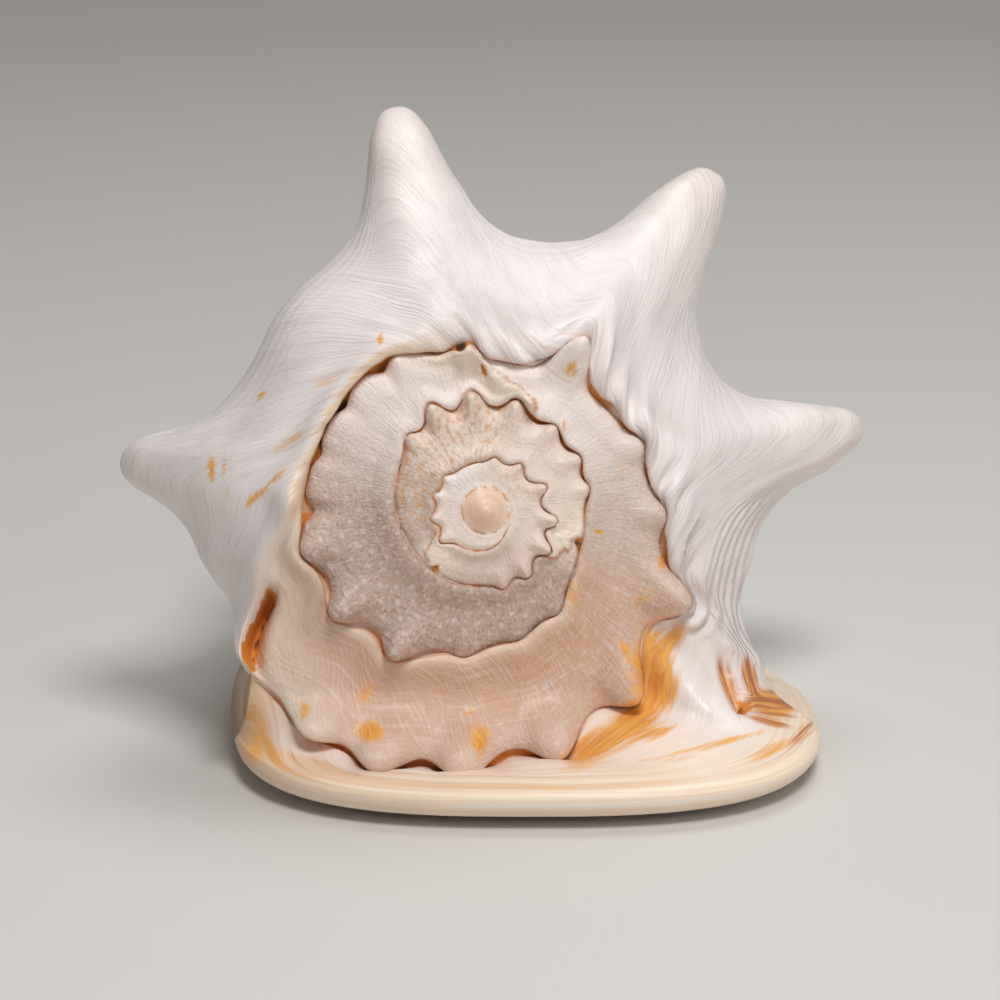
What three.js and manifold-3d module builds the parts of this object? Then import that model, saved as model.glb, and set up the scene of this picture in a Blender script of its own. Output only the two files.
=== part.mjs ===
// Horned helmet shell lying on its ventral shield, as one closed faceted solid.
// Millimetres, +Z up. The apex of the low spire points to -Y, the siphonal canal to +Y,
// and the thick outer lip is at +X, as in every right-handed shell.
import * as THREE from 'three';
import { mergeVertices } from 'three/addons/utils/BufferGeometryUtils.js';
import Module from 'manifold-3d';

const DEGREE = Math.PI / 180;

// The spire is measured in a frame of its own: angles run clockwise from straight up around the
// apex, seen from the apex side, and "out" points away from the shell. The frame is tipped back.
const SPIRE_TIP = 17 * DEGREE;
const APEX = new THREE.Vector3(-3.4, -54.2, 69.4);
const APEX_DOME_HEIGHT = 2.6;
const CONE_SLOPE = 0.187;
const LEAN_RIGHT = -0.255;
const LEAN_UP = 0.258;
const FOOT_BULGE = 9;
const FOOT_BULGE_FROM = 42;
const FOOT_BULGE_TO = 62;

// Growth angles in degrees: the band of the last turn starts at the old lip on the left,
// carries the horns, reaches the outer lip and runs on as the shield.
const FIRST_ANGLE = -960;
const OLD_LIP_ANGLE = 235;
const SHIELD_STARTS = 470;
const SHIELD_WHOLE = 487;
const LIP_CORNER_ANGLE = 483;
const LAST_ANGLE = 595;

// Suture: growth angle and distance from the apex
const SUTURE_POINTS = [
  [-960, 6.5], [-600, 6.5], [-540, 9.6], [-470, 11.3], [-400, 11.4], [-335, 11.7], [-278, 13],
  [-224, 16], [-177, 18.2], [-120, 19.4], [-60, 22.8], [-10, 24.2], [50, 23.4], [110, 24.2],
  [150, 29.5], [180, 33], [225, 38.5], [270, 41.5], [322, 41.3], [345, 37.5], [365, 35.2],
  [410, 37.6], [450, 40.5], [475, 45.5], [490, 48.6], [510, 54], [535, 58.5], [560, 62], [595, 68],
];

// Shoulder nodes that push the suture outward: growth angle of the suture and how far
const NODE_WIDTH = 6.5;
const NODES = [
  [-485, 2], [-460, 1.6], [-435, 1.3], [-412, 1.2], [-350, 1], [-322, 1.8], [-291, 2.8], [-261, 3.4],
  [-237, 3], [-213, 2.4], [-193, 1.7], [-47, 2], [-28, 4], [-7, 3.8], [16, 3], [40, 2.3], [61, 2.3],
  [78, 1.8], [212, 5.2], [235, 5.2], [257, 3.6], [390, 11], [475, 9.6], [501, 8], [523, 6.2],
  [545, 4.6], [563, 4.8], [578, 3.6],
];

// Whorl relief, as shares of the band's width
const LIP_AT = 0.1;
const HOLLOW_AT = 0.5;
const STEP_AT = 0.93;
const STEP_SHARE = 0.13;
const HOLLOW_SHARE = 0.03;
const NODE_SWELL = 0.3;
const GROOVE_DEPTH = 0.7;
const GROOVE_SHARE = 0.03;
const SUTURE_LIP = 0.9;
const FULL_LIP_WIDTH = 12;
const BODY_ROLL = 2.6;
const BODY_ROLL_AT = 300;
const BODY_ROLL_SPREAD = 45;
const BODY_LIP_AT = 0.08;
const BODY_HOLLOW_AT = 0.3;

// Old lips that cross the whorls: growth angle at the suture, slant to the shoulder, ridge height
const VARICES = [
  { at: -475, slant: 20, height: 0.7 }, { at: -232, slant: 24, height: 1.2 },
  { at: 28, slant: 36, height: 2.2 }, { at: 262, slant: 27, height: 4 },
];
const VARIX_RISE = 9;
const VARIX_FALL = 3;

// Horns of the body whorl: growth angle, height above the shoulder, half width, sweep to the back.
// The last one is only a knob at the outer lip.
const HORNS = [
  { angle: 277.7, height: 22, width: 9.6, sweep: 10 },
  { angle: 347.1, height: 36, width: 10.5, sweep: 12 },
  { angle: 394.1, height: 35, width: 10.5, sweep: 12 },
  { angle: 437.6, height: 31, width: 10, sweep: 12 },
  { angle: 479.5, height: 7, width: 6, sweep: 4 },
];
const HORN_BACK_WIDTH = 10.5;
const HORN_BACK_END = [25, 60];
const HORN_POWER = 2.7;
const HORN_RADIUS = 80;
const SHOULDER_POINTS = [
  [235, 70], [247, 65], [262, 68], [300, 65], [321, 68], [347, 64.5], [372, 63], [394, 65], [417, 62.5],
  [437, 65], [460, 66], [475, 70], [500, 73], [595, 73],
];
const SHOULDER_TURN = 47;
const FACE_REACH = 60;
const SHOULDER_DROP = 17.5;
const SHOULDER_POWER = 1.9;

// Ventral shield: its outline from above, and the lifted rim at its front
const SHIELD_CENTRE = [6.9, -27];
const SHIELD_HALF = [71.9, 59];
const SHIELD_POWER = 2.8;
const RIM_TOP = 9.6;
const RIM_MIDDLE = 7.4;
const RIM_LIFT = 4.6;
const RIM_CURL = 24;
const RIM_ROUND_FROM = 0.9;
const SHIELD_FILLET = 2.2;
const SHIELD_LOWEST = 4;
const RIM_TURN = 170 * DEGREE;
const LEFT_END_Y = -43;

// Body behind the horns, by distance along the shell
const TAIL_Y = 112;
const TAIL_RECESS = 9;
const AXIS_X = -4;
const AXIS_DRIFT = -0.1;
const AXIS_DRIFT_FROM = 10;
const HALF_WIDTH_POINTS = [
  [-90, 69], [-30, 69], [0, 64.5], [30, 57], [60, 46], [85, 31], [103, 15], [112, 9],
];
const HEIGHT_POINTS = [
  [-90, 128], [-20, 126], [5, 118], [30, 108], [60, 90], [85, 66], [103, 41], [112, 27],
];
const SHIELD_LEFT_POINTS = [
  [-90, -65], [-27, -65], [5, -62], [35, -54], [60, -44], [85, -31], [103, -24], [112, -23],
];
const SHIELD_RIGHT_POINTS = [
  [-90, 78.8], [-27, 78.8], [5, 76], [35, 67], [60, 52], [85, 28], [103, 4], [112, -5],
];
const CANAL_LIFT = 22;
const CANAL_LIFT_FROM = 66;

// Hollow corners where the body's flanks meet the edges of the shield
const FLANGE_HEIGHT = 9;
const FLANGE_SHARE = 0.25;
const FLANGE_FADE = 40;
const FLANGE_ANGLE_RIGHT = 112;
const FLANGE_ANGLE_LEFT = 225;
const FLANGE_BLEND_ANGLE = 280;
const FLANGE_HOLLOW_SHARE = 0.1;

// Low knobs on the back, in two rows behind the horns
const KNOB_ROWS = [{ y: 34, height: 4.5 }, { y: 60, height: 3.2 }];
const KNOB_ANGLES = [292, 322, 352, 22, 52, 82];
const KNOB_HALF_ANGLE = 8;
const KNOB_HALF_LENGTH = 8;

// Aperture in the underside: a long slit, bent to the left, with teeth on the outer lip
const SLIT_START = new THREE.Vector2(33, -26);
const SLIT_END = new THREE.Vector2(-9, 97);
const SLIT_BEND = 7;
const SLIT_HALF_WIDTH = 7.5;
const SLIT_TEETH = 7;
const SLIT_TOOTH = 2.2;
const SLIT_DEPTH = 24;
const SLIT_STEPS = 42;
const SLIT_TAPER = [0.04, 0.94];

// Facets
const COLUMNS = 96;
const BAND_ROWS = [0, LIP_AT, HOLLOW_AT, STEP_AT];
const FRONT_ROWS = [0.62, 0.74, 0.85, 0.94, 1];
const BODY_BAND_SHARE = 0.5;
const BACK_ROWS = 25;
const BACK_ROW_POWER = 1.35;
const BAND_FADE_ANGLE = 50;
const HORN_CROWDING = 2.4;
const HORN_CROWDING_ANGLE = 9;
const CROWDING_STEPS = 3600;

const SHELL_COLOUR = 0xe9dcd2;
const SHELL_ROUGHNESS = 0.38;

// A smooth curve through [x, y] pairs, flat beyond both ends
function curve(points) {
  const slopes = points.map((point, i) => {
    const before = points[Math.max(i - 1, 0)];
    const after = points[Math.min(i + 1, points.length - 1)];
    return (after[1] - before[1]) / (after[0] - before[0]);
  });
  return (x) => {
    if (x <= points[0][0]) return points[0][1];
    const i = points.findIndex((point) => point[0] >= x);
    if (i < 0) return points.at(-1)[1];
    const [x0, y0] = points[i - 1];
    const [x1, y1] = points[i];
    const span = x1 - x0;
    const t = (x - x0) / span;
    const ease = t * t * (3 - 2 * t);
    const enter = slopes[i - 1] * span * t * (1 - t) * (1 - t);
    const leave = slopes[i] * span * t * t * (1 - t);
    return y0 + (y1 - y0) * ease + enter - leave;
  };
}

const sutureBase = curve(SUTURE_POINTS);
const shoulderBase = curve(SHOULDER_POINTS);
const halfWidthAt = curve(HALF_WIDTH_POINTS);
const heightAt = curve(HEIGHT_POINTS);
const shieldLeftAt = curve(SHIELD_LEFT_POINTS);
const shieldRightAt = curve(SHIELD_RIGHT_POINTS);
const { smoothstep, lerp } = THREE.MathUtils;

// Angle between two directions, from -180 to 180
function turnBetween(angle, other) {
  return ((((angle - other) % 360) + 540) % 360) - 180;
}

function bell(distance, width) {
  return Math.exp(-((distance / width) ** 2));
}

function spirePoint(angle, radius, out) {
  const up = radius * Math.cos(angle * DEGREE);
  return new THREE.Vector3(
    APEX.x + radius * Math.sin(angle * DEGREE),
    APEX.y + up * Math.sin(SPIRE_TIP) - out * Math.cos(SPIRE_TIP),
    APEX.z + up * Math.cos(SPIRE_TIP) + out * Math.sin(SPIRE_TIP),
  );
}

// The spire's cone, leaning, with the lowest whorl swelling over the shield
function faceOut(angle, radius) {
  const right = radius * Math.sin(angle * DEGREE);
  const up = radius * Math.cos(angle * DEGREE);
  const foot = FOOT_BULGE * smoothstep(-up, FOOT_BULGE_FROM, FOOT_BULGE_TO);
  return LEAN_RIGHT * right + LEAN_UP * up - CONE_SLOPE * radius + foot;
}

function nodeAt(angle) {
  return NODES.reduce((sum, [at, reach]) => sum + reach * bell(angle - at, NODE_WIDTH), 0);
}

function sutureRadius(angle) {
  return sutureBase(angle) + nodeAt(angle);
}

// How far a horn stands up at a distance from its axis, as a share of its height
function hornShare(distance, width) {
  return 1 / (1 + (Math.abs(distance) / width) ** HORN_POWER);
}

// What is left of a horn at a distance behind the outline
function backShare(distance) {
  return hornShare(distance, HORN_BACK_WIDTH) * (1 - smoothstep(distance, ...HORN_BACK_END));
}

function hornsAt(angle, key) {
  return HORNS.reduce((sum, horn) => {
    const distance = HORN_RADIUS * DEGREE * turnBetween(angle, horn.angle);
    return sum + horn[key] * hornShare(distance, horn.width);
  }, 0);
}

function varixOut(angle, share) {
  return VARICES.reduce((sum, varix) => {
    const past = angle - (varix.at - varix.slant * share);
    return sum + varix.height * bell(past, past < 0 ? VARIX_RISE : VARIX_FALL);
  }, 0);
}

function grooveOut(radius) {
  return -GROOVE_DEPTH - GROOVE_SHARE * radius;
}

// A point of a spire whorl: share 0 is in its inner suture, 1 at the next one
function whorlPoint(angle, share) {
  const inner = sutureRadius(angle);
  const outer = sutureRadius(angle + 360);
  const width = outer - inner;
  const radius = lerp(inner, outer, share);
  const relief = curve([
    [0, grooveOut(inner)],
    [LIP_AT, SUTURE_LIP * Math.min(1, width / FULL_LIP_WIDTH)],
    [HOLLOW_AT, -HOLLOW_SHARE * width],
    [STEP_AT, STEP_SHARE * width + NODE_SWELL * nodeAt(angle + 360)],
  ]);
  const ridge = varixOut(angle, share) * smoothstep(share, 0, LIP_AT);
  return spirePoint(angle, radius, faceOut(angle, radius) + relief(share) + ridge);
}

// A point of the body whorl's front: share 0 is in the suture, 1 on the outline with the horns
function bodyPoint(angle, share) {
  const inner = sutureRadius(angle);
  const outer = shoulderBase(angle) + hornsAt(angle, 'height');
  const radius = lerp(inner, outer, share);
  const past = Math.max(0, radius - SHOULDER_TURN) / (outer - SHOULDER_TURN);
  const drop = (SHOULDER_DROP + hornsAt(angle, 'sweep')) * past ** SHOULDER_POWER;
  const roll = SUTURE_LIP + BODY_ROLL * bell(angle - BODY_ROLL_AT, BODY_ROLL_SPREAD);
  const relief = curve([[0, grooveOut(inner)], [BODY_LIP_AT, roll], [BODY_HOLLOW_AT, 0], [1, 0]]);
  const ridge = varixOut(angle, share) * smoothstep(share, 0, BODY_LIP_AT);
  const out = faceOut(angle, Math.min(radius, FACE_REACH)) - drop + relief(share) + ridge;
  return spirePoint(angle, radius, out);
}

function power(value, exponent) {
  return Math.sign(value) * Math.abs(value) ** exponent;
}

// The shield's rim from the outer lip, round the front, to the left end
function rimPoint(angle) {
  const turn = RIM_TURN * (angle - LIP_CORNER_ANGLE) / (LAST_ANGLE - LIP_CORNER_ANGLE);
  const x = SHIELD_CENTRE[0] + SHIELD_HALF[0] * power(Math.cos(turn), 2 / SHIELD_POWER);
  const y = SHIELD_CENTRE[1] - SHIELD_HALF[1] * power(Math.sin(Math.max(turn, 0)), 2 / SHIELD_POWER);
  return new THREE.Vector3(x, y, RIM_MIDDLE);
}

// The crevice between the last nodes and the shield
function crevicePoint(angle) {
  const radius = sutureRadius(angle);
  const point = spirePoint(angle, radius, faceOut(angle, radius) + grooveOut(radius));
  point.z = Math.max(point.z, SHIELD_LOWEST);
  return point;
}

// The shield's upper face: share 0 in the crevice, 1 on the rim
function shieldPoint(angle, share) {
  const start = crevicePoint(angle);
  const rim = rimPoint(angle);
  const point = start.clone().lerp(rim, share);
  const top = lerp(RIM_TOP, RIM_MIDDLE, smoothstep(share, RIM_ROUND_FROM, 1));
  point.z = top + (start.z - top) * (1 - share) ** SHIELD_FILLET;
  return point;
}

function frontPoint(angle, share) {
  const shield = smoothstep(angle, SHIELD_STARTS, SHIELD_WHOLE);
  if (shield === 0) return bodyPoint(angle, share);
  if (shield === 1) return shieldPoint(angle, share);
  return bodyPoint(angle, share).lerp(shieldPoint(angle, share), shield);
}

function canalLift(y) {
  return CANAL_LIFT * smoothstep(y, CANAL_LIFT_FROM, TAIL_Y);
}

function archPoint(angle, y) {
  const half = halfWidthAt(y);
  const middle = heightAt(y) / 2;
  const knobs = KNOB_ROWS.reduce((sum, row) => {
    const along = row.height * bell(y - row.y, KNOB_HALF_LENGTH);
    return sum + KNOB_ANGLES.reduce((s, at) => s + along * bell(turnBetween(angle, at), KNOB_HALF_ANGLE), 0);
  }, 0);
  const x = AXIS_X + AXIS_DRIFT * (y - AXIS_DRIFT_FROM) + (half + knobs) * Math.sin(angle * DEGREE);
  return new THREE.Vector3(x, y, middle + (middle + knobs) * Math.cos(angle * DEGREE) + canalLift(y));
}

// Underside: flat where the shell rests, curling up towards the rim
function undersidePoint(x, y) {
  const left = shieldLeftAt(y);
  const right = shieldRightAt(y);
  const half = (right - left) / 2;
  const across = Math.abs(x - (left + right) / 2) / half;
  const ahead = Math.max(0, SHIELD_CENTRE[1] - y) / SHIELD_HALF[1];
  const reach = (across ** SHIELD_POWER + ahead ** SHIELD_POWER) ** (1 / SHIELD_POWER);
  const inside = Math.max(0, 1 - reach) * half;
  const curl = RIM_LIFT * Math.max(0, 1 - inside / RIM_CURL) ** 2;
  return new THREE.Vector3(x, y, curl + canalLift(y));
}

// The hollow corner between the body's flank and the shield's edge, on the left (-1) or right (1)
function flangePoint(side, share, y) {
  const flank = archPoint(side < 0 ? FLANGE_ANGLE_LEFT : FLANGE_ANGLE_RIGHT, y);
  const rim = undersidePoint(side < 0 ? shieldLeftAt(y) : shieldRightAt(y), y);
  rim.z += (RIM_MIDDLE - RIM_LIFT) * smoothstep(TAIL_Y - y, 0, FLANGE_FADE);
  const height = canalLift(y) + Math.min(FLANGE_HEIGHT, FLANGE_SHARE * heightAt(y));
  const corner = new THREE.Vector3(flank.x - side * FLANGE_HOLLOW_SHARE * halfWidthAt(y), y, height);
  const bend = 1 - share;
  return flank.multiplyScalar(bend * bend).addScaledVector(corner, 2 * share * bend)
    .addScaledVector(rim, share * share);
}

// A point behind the outline, on the cross-section at y
function sectionPoint(column, y) {
  if (column.end !== undefined) {
    return flangePoint(-1, column.end, y);
  }
  if (column.angle <= SHIELD_STARTS) {
    const low = 1 - smoothstep(column.angle, OLD_LIP_ANGLE, FLANGE_BLEND_ANGLE);
    return archPoint(column.angle - (OLD_LIP_ANGLE - FLANGE_ANGLE_LEFT) * low, y);
  }
  if (column.angle <= LIP_CORNER_ANGLE) {
    const share = (column.angle - SHIELD_STARTS) / (LIP_CORNER_ANGLE - SHIELD_STARTS);
    return flangePoint(1, share, y);
  }
  const across = (rimPoint(column.angle).x - SHIELD_CENTRE[0]) / SHIELD_HALF[0];
  const left = shieldLeftAt(y);
  const right = shieldRightAt(y);
  return undersidePoint(lerp(left, right, (1 + across) / 2), y);
}

// Column angles of one turn, crowded where the horns stand
function columnAngles() {
  const step = 360 / CROWDING_STEPS;
  const totals = [0];
  for (let n = 0; n < CROWDING_STEPS; n += 1) {
    const angle = OLD_LIP_ANGLE + (n + 0.5) * step;
    const crowd = HORNS.reduce((sum, horn) => (
      sum + HORN_CROWDING * bell(turnBetween(angle, horn.angle), HORN_CROWDING_ANGLE)), 1);
    totals.push(totals[n] + crowd);
  }
  const angles = [OLD_LIP_ANGLE];
  for (let column = 1; column < COLUMNS; column += 1) {
    const wanted = totals[CROWDING_STEPS] * column / COLUMNS;
    angles.push(OLD_LIP_ANGLE + step * totals.findIndex((total) => total >= wanted));
  }
  return angles;
}

// Vertices and triangles of one closed mesh
class Skin {
  constructor() {
    this.positions = [];
    this.triangles = [];
  }

  add(point) {
    this.positions.push(point.x, point.y, point.z);
    return this.positions.length / 3 - 1;
  }

  triangle(a, b, c) {
    if (a !== b && b !== c && c !== a) this.triangles.push(a, b, c);
  }

  quad(a, b, c, d) {
    this.triangle(a, b, c);
    this.triangle(a, c, d);
  }

  // Strip between two rows of equal length, closed into a ring
  ring(inner, outer) {
    inner.forEach((vertex, i) => {
      const next = (i + 1) % inner.length;
      this.quad(inner[next], vertex, outer[i], outer[next]);
    });
  }
}

// Share of the body whorl's front that belongs to the band; whole at both ends of the last turn
function bandShare(angle) {
  return lerp(1, BODY_BAND_SHARE, smoothstep(angle, OLD_LIP_ANGLE, OLD_LIP_ANGLE + BAND_FADE_ANGLE));
}

function buildSkin() {
  const skin = new Skin();
  const turnAngles = columnAngles();
  const angles = [];
  for (let turn = Math.ceil((OLD_LIP_ANGLE - FIRST_ANGLE) / 360); turn >= 0; turn -= 1) {
    turnAngles.forEach((angle) => angles.push(angle - 360 * turn));
  }
  angles.push(LAST_ANGLE);
  const first = angles.findIndex((angle) => angle >= FIRST_ANGLE);
  const columns = angles.slice(first);
  const last = columns.length - 1;
  const free = last - COLUMNS + 1;

  // Rows of the spiral band; the outer row of one turn is the inner row of the next
  const rows = BAND_ROWS.length;
  const band = columns.map((angle, i) => BAND_ROWS.map((share) => {
    if (i < free) return skin.add(whorlPoint(angle, share));
    if (angle >= SHIELD_WHOLE && share === 0) return skin.add(crevicePoint(angle));
    return skin.add(frontPoint(angle, share * bandShare(angle)));
  }));
  columns.forEach((angle, i) => {
    band[i].push(i < free ? band[i + COLUMNS][0] : skin.add(frontPoint(angle, bandShare(angle))));
  });
  band[0].fill(band[COLUMNS][0]);
  for (let i = 1; i <= last; i += 1) {
    for (let j = 0; j < rows; j += 1) {
      skin.quad(band[i - 1][j], band[i][j], band[i][j + 1], band[i - 1][j + 1]);
    }
  }

  // Dome of the first whorls
  const hub = skin.add(spirePoint(0, 0, APEX_DOME_HEIGHT));
  for (let i = 1; i <= COLUMNS; i += 1) {
    skin.triangle(hub, band[i][0], band[i - 1][0]);
  }

  // Open edge of the last turn: the shield's left end, then back round the rim and the horns
  const edge = band[last].map((vertex, j) => ({ vertex, angle: LAST_ANGLE, end: j / rows }));
  for (let i = last - 1; i >= free; i -= 1) {
    edge.push({ vertex: band[i][rows], angle: columns[i] });
  }
  let ring = edge.map((column) => column.vertex);
  const grow = (pointOf) => {
    const next = edge.map((column) => skin.add(pointOf(column)));
    skin.ring(ring, next);
    ring = next;
  };
  FRONT_ROWS.forEach((share) => grow((column) => {
    const from = bandShare(column.angle);
    const outward = (share - BODY_BAND_SHARE) / (1 - BODY_BAND_SHARE);
    if (column.end === undefined) return frontPoint(column.angle, lerp(from, 1, outward));
    const start = shieldPoint(LAST_ANGLE, column.end * from);
    return start.lerp(endOutline(column), outward);
  }));
  edge.forEach((column) => {
    column.outline = column.end === undefined ? frontPoint(column.angle, 1) : endOutline(column);
    column.offset = column.outline.clone().sub(sectionPoint(column, column.outline.y));
  });
  for (let n = 1; n <= BACK_ROWS; n += 1) {
    const along = (n / BACK_ROWS) ** BACK_ROW_POWER;
    grow((column) => {
      const y = lerp(column.outline.y, TAIL_Y, along);
      return sectionPoint(column, y).addScaledVector(column.offset, backShare(y - column.outline.y));
    });
  }
  const tail = skin.add(tailPoint());
  ring.forEach((vertex, i) => skin.triangle(tail, ring[(i + 1) % ring.length], vertex));
  return skin;
}

// Outline of the shield's left end, from the old lip's foot down to the rim
function endOutline(column) {
  return sectionPoint(column, LEFT_END_Y);
}

function tailPoint() {
  const x = AXIS_X + AXIS_DRIFT * (TAIL_Y - AXIS_DRIFT_FROM);
  return new THREE.Vector3(x, TAIL_Y - TAIL_RECESS, CANAL_LIFT + heightAt(TAIL_Y) / 2);
}

// Cutter for the aperture, from below the underside up into the body
function slitGeometry() {
  const left = [];
  const right = [];
  for (let n = 0; n <= SLIT_STEPS; n += 1) {
    const along = n / SLIT_STEPS;
    const middle = SLIT_START.clone().lerp(SLIT_END, along);
    const taper = Math.sqrt(Math.sin(Math.PI * lerp(...SLIT_TAPER, along)));
    const bend = SLIT_BEND * Math.sin(Math.PI * along);
    const tooth = SLIT_TOOTH * Math.max(0, Math.sin(2 * Math.PI * SLIT_TEETH * along)) * taper;
    left.push(new THREE.Vector2(middle.x + bend - SLIT_HALF_WIDTH * taper, middle.y));
    right.push(new THREE.Vector2(middle.x + bend + SLIT_HALF_WIDTH * taper - tooth, middle.y));
  }
  const outline = new THREE.Shape(right.concat(left.reverse()));
  const cutter = new THREE.ExtrudeGeometry(outline, { depth: SLIT_DEPTH + 1, bevelEnabled: false });
  return cutter.translate(0, 0, -1);
}

// A closed geometry as a solid for cutting, with shared corners merged
function solidOf(wasm, geometry) {
  const bare = new THREE.BufferGeometry();
  bare.setAttribute('position', geometry.getAttribute('position'));
  bare.setIndex(geometry.getIndex());
  const merged = mergeVertices(bare);
  const vertProperties = new Float32Array(merged.getAttribute('position').array);
  const triVerts = new Uint32Array(merged.getIndex().array);
  return new wasm.Manifold(new wasm.Mesh({ numProp: 3, vertProperties, triVerts }));
}

function geometryOf(solid) {
  const mesh = solid.getMesh();
  const geometry = new THREE.BufferGeometry();
  geometry.setAttribute('position', new THREE.Float32BufferAttribute(mesh.vertProperties, 3));
  geometry.setIndex(Array.from(mesh.triVerts));
  return geometry;
}

// Moves the solid so that its box's bottom centre is at the origin
function standAtOrigin(geometry) {
  geometry.computeBoundingBox();
  const { min, max } = geometry.boundingBox;
  geometry.translate(-(min.x + max.x) / 2, -(min.y + max.y) / 2, -min.z);
  geometry.computeVertexNormals();
  return geometry;
}

const wasm = await Module();
wasm.setup();

const skin = buildSkin();
const whole = new THREE.BufferGeometry();
whole.setAttribute('position', new THREE.Float32BufferAttribute(skin.positions, 3));
whole.setIndex(skin.triangles);
const cut = solidOf(wasm, whole).subtract(solidOf(wasm, slitGeometry()));

const material = new THREE.MeshStandardMaterial({ color: SHELL_COLOUR, roughness: SHELL_ROUGHNESS });
const shell = new THREE.Mesh(standAtOrigin(geometryOf(cut)), material);
shell.name = 'shell';

const helmetShell = new THREE.Group();
helmetShell.add(shell);

export default helmetShell;
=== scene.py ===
"""Horned helmet shell: its fine surface and porcelain finish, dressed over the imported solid.

The skin is grown as the animal grows it. A band winds round the apex, the outer edge of each turn
is sewn to the inner edge of the next, and the last turn opens out into the horns, the outer lip
and the ventral shield, then closes over the back to the siphonal canal.

Sizes are millimetres in the growth frame, whose apex faces -Y. Angles are degrees of growth,
clockwise from straight up as seen from the apex. ORIGIN_SHIFT moves the skin to the part's frame.
"""
import logging
import math
from dataclasses import dataclass, field
from enum import Enum

import bpy
import numpy as np
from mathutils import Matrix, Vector


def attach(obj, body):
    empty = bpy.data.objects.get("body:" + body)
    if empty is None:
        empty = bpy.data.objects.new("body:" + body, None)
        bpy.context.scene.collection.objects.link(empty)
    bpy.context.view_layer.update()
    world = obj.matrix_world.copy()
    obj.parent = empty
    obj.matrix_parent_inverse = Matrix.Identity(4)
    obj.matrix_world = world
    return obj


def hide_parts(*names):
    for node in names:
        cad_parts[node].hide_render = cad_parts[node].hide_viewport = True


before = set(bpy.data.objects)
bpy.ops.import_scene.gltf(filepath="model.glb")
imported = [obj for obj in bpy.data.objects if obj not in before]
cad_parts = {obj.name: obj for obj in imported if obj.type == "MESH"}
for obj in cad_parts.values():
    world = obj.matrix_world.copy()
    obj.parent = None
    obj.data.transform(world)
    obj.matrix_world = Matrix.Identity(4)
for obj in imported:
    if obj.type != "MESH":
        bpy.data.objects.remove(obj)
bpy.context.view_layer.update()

Array = np.ndarray
Span = tuple[float, float]
Pairs = tuple[Span, ...]
Colour = tuple[float, ...]

LOG = logging.getLogger("helmet_shell")
MM = 0.001
FAR = 99.0
ORIGIN_SHIFT = (0.38, -13.01, 0.0)


class Trait(Enum):
    """What the skin remembers at each point for its finish."""

    GROWTH = "growth_mm"
    ACROSS = "across_mm"
    RADIUS = "radius_mm"
    SPIRE = "spire"
    # Rust stain in crevices, turning to painted shade where they are deepest.
    RUST_AND_SHADE = "crevice"
    CREAM = "cream"
    SHIELD = "shield"
    RIM = "rim_mm"
    HORN = "horn"
    STAIN = "stain"
    BARS = "bars"
    UNDER = "under"
    DASH = "dash"
    TAUPE = "taupe"
    STREAK = "streak"
    WARM = "warm"
    AROUND = "around_deg"
    PALE = "pale"
    BEIGE = "beige"
    RIBS = "ribs"
    EDGE = "edge_mm"
    WORN = "worn"


def smoothstep(value: Array, low: float, high: float) -> Array:
    """Eases from 0 at low to 1 at high."""
    share = np.clip((np.asarray(value, float) - low) / (high - low), 0, 1)
    return share * share * (3 - 2 * share)


def bell(distance: Array, width: float) -> Array:
    """A round bump, 1 in the middle."""
    return np.exp(-((np.asarray(distance, float) / width) ** 2))


def lerp(start: Array, end: Array, share: Array) -> Array:
    """The value at a share of the way from start to end."""
    return start + (end - start) * share


def turn_between(angle: Array, other: float) -> Array:
    """Degrees from one direction to another, from -180 to 180."""
    return (np.asarray(angle, float) - other + 180) % 360 - 180


def points(x: Array, y: Array, z: Array) -> Array:
    """Joins coordinates of any matching shapes into points."""
    return np.stack(np.broadcast_arrays(x, y, z), -1).astype(float)


class Curve:
    """A smooth curve through pairs, flat beyond both ends."""

    def __init__(self, pairs: Pairs) -> None:
        """Keeps the pairs and the mean slope at each of them."""
        self.x, self.y = np.array(pairs, float).T
        ends = np.arange(len(self.x))
        before, after = np.maximum(ends - 1, 0), np.minimum(ends + 1, len(ends) - 1)
        self.slope = (self.y[after] - self.y[before]) / (self.x[after] - self.x[before])

    def __call__(self, at: Array) -> Array:
        """Reads the curve.

        Args:
            at: Places to read it at, of any shape.

        Returns:
            The curve's values there.
        """
        at = np.clip(np.asarray(at, float), self.x[0], self.x[-1])
        i = np.clip(np.searchsorted(self.x, at), 1, len(self.x) - 1)
        span = self.x[i] - self.x[i - 1]
        t = (at - self.x[i - 1]) / span
        ease = t * t * (3 - 2 * t)
        enter = self.slope[i - 1] * span * t * (1 - t) ** 2
        leave = self.slope[i] * span * t * t * (1 - t)
        return lerp(self.y[i - 1], self.y[i], ease) + enter - leave


class Unevenness:
    """Repeatable smooth noise from -1 to 1."""

    SIZE = 512

    def __init__(self, seed: int) -> None:
        """Fills the lattice once from the seed."""
        self.lattice = np.random.RandomState(seed).uniform(-1, 1, (self.SIZE, self.SIZE))

    def __call__(self, u: Array, v: Array) -> Array:
        """Reads the noise.

        Args:
            u: First coordinate, in lattice steps.
            v: Second coordinate, in lattice steps.

        Returns:
            Noise at those places.
        """
        u, v = np.broadcast_arrays(np.asarray(u, float), np.asarray(v, float))
        i, j = np.floor(u).astype(int), np.floor(v).astype(int)
        a, b = smoothstep(u - i, 0, 1), smoothstep(v - j, 0, 1)
        cell = [[self.lattice[(i + m) % self.SIZE, (j + n) % self.SIZE] for n in (0, 1)] for m in (0, 1)]
        return lerp(lerp(cell[0][0], cell[1][0], a), lerp(cell[0][1], cell[1][1], a), b)


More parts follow.
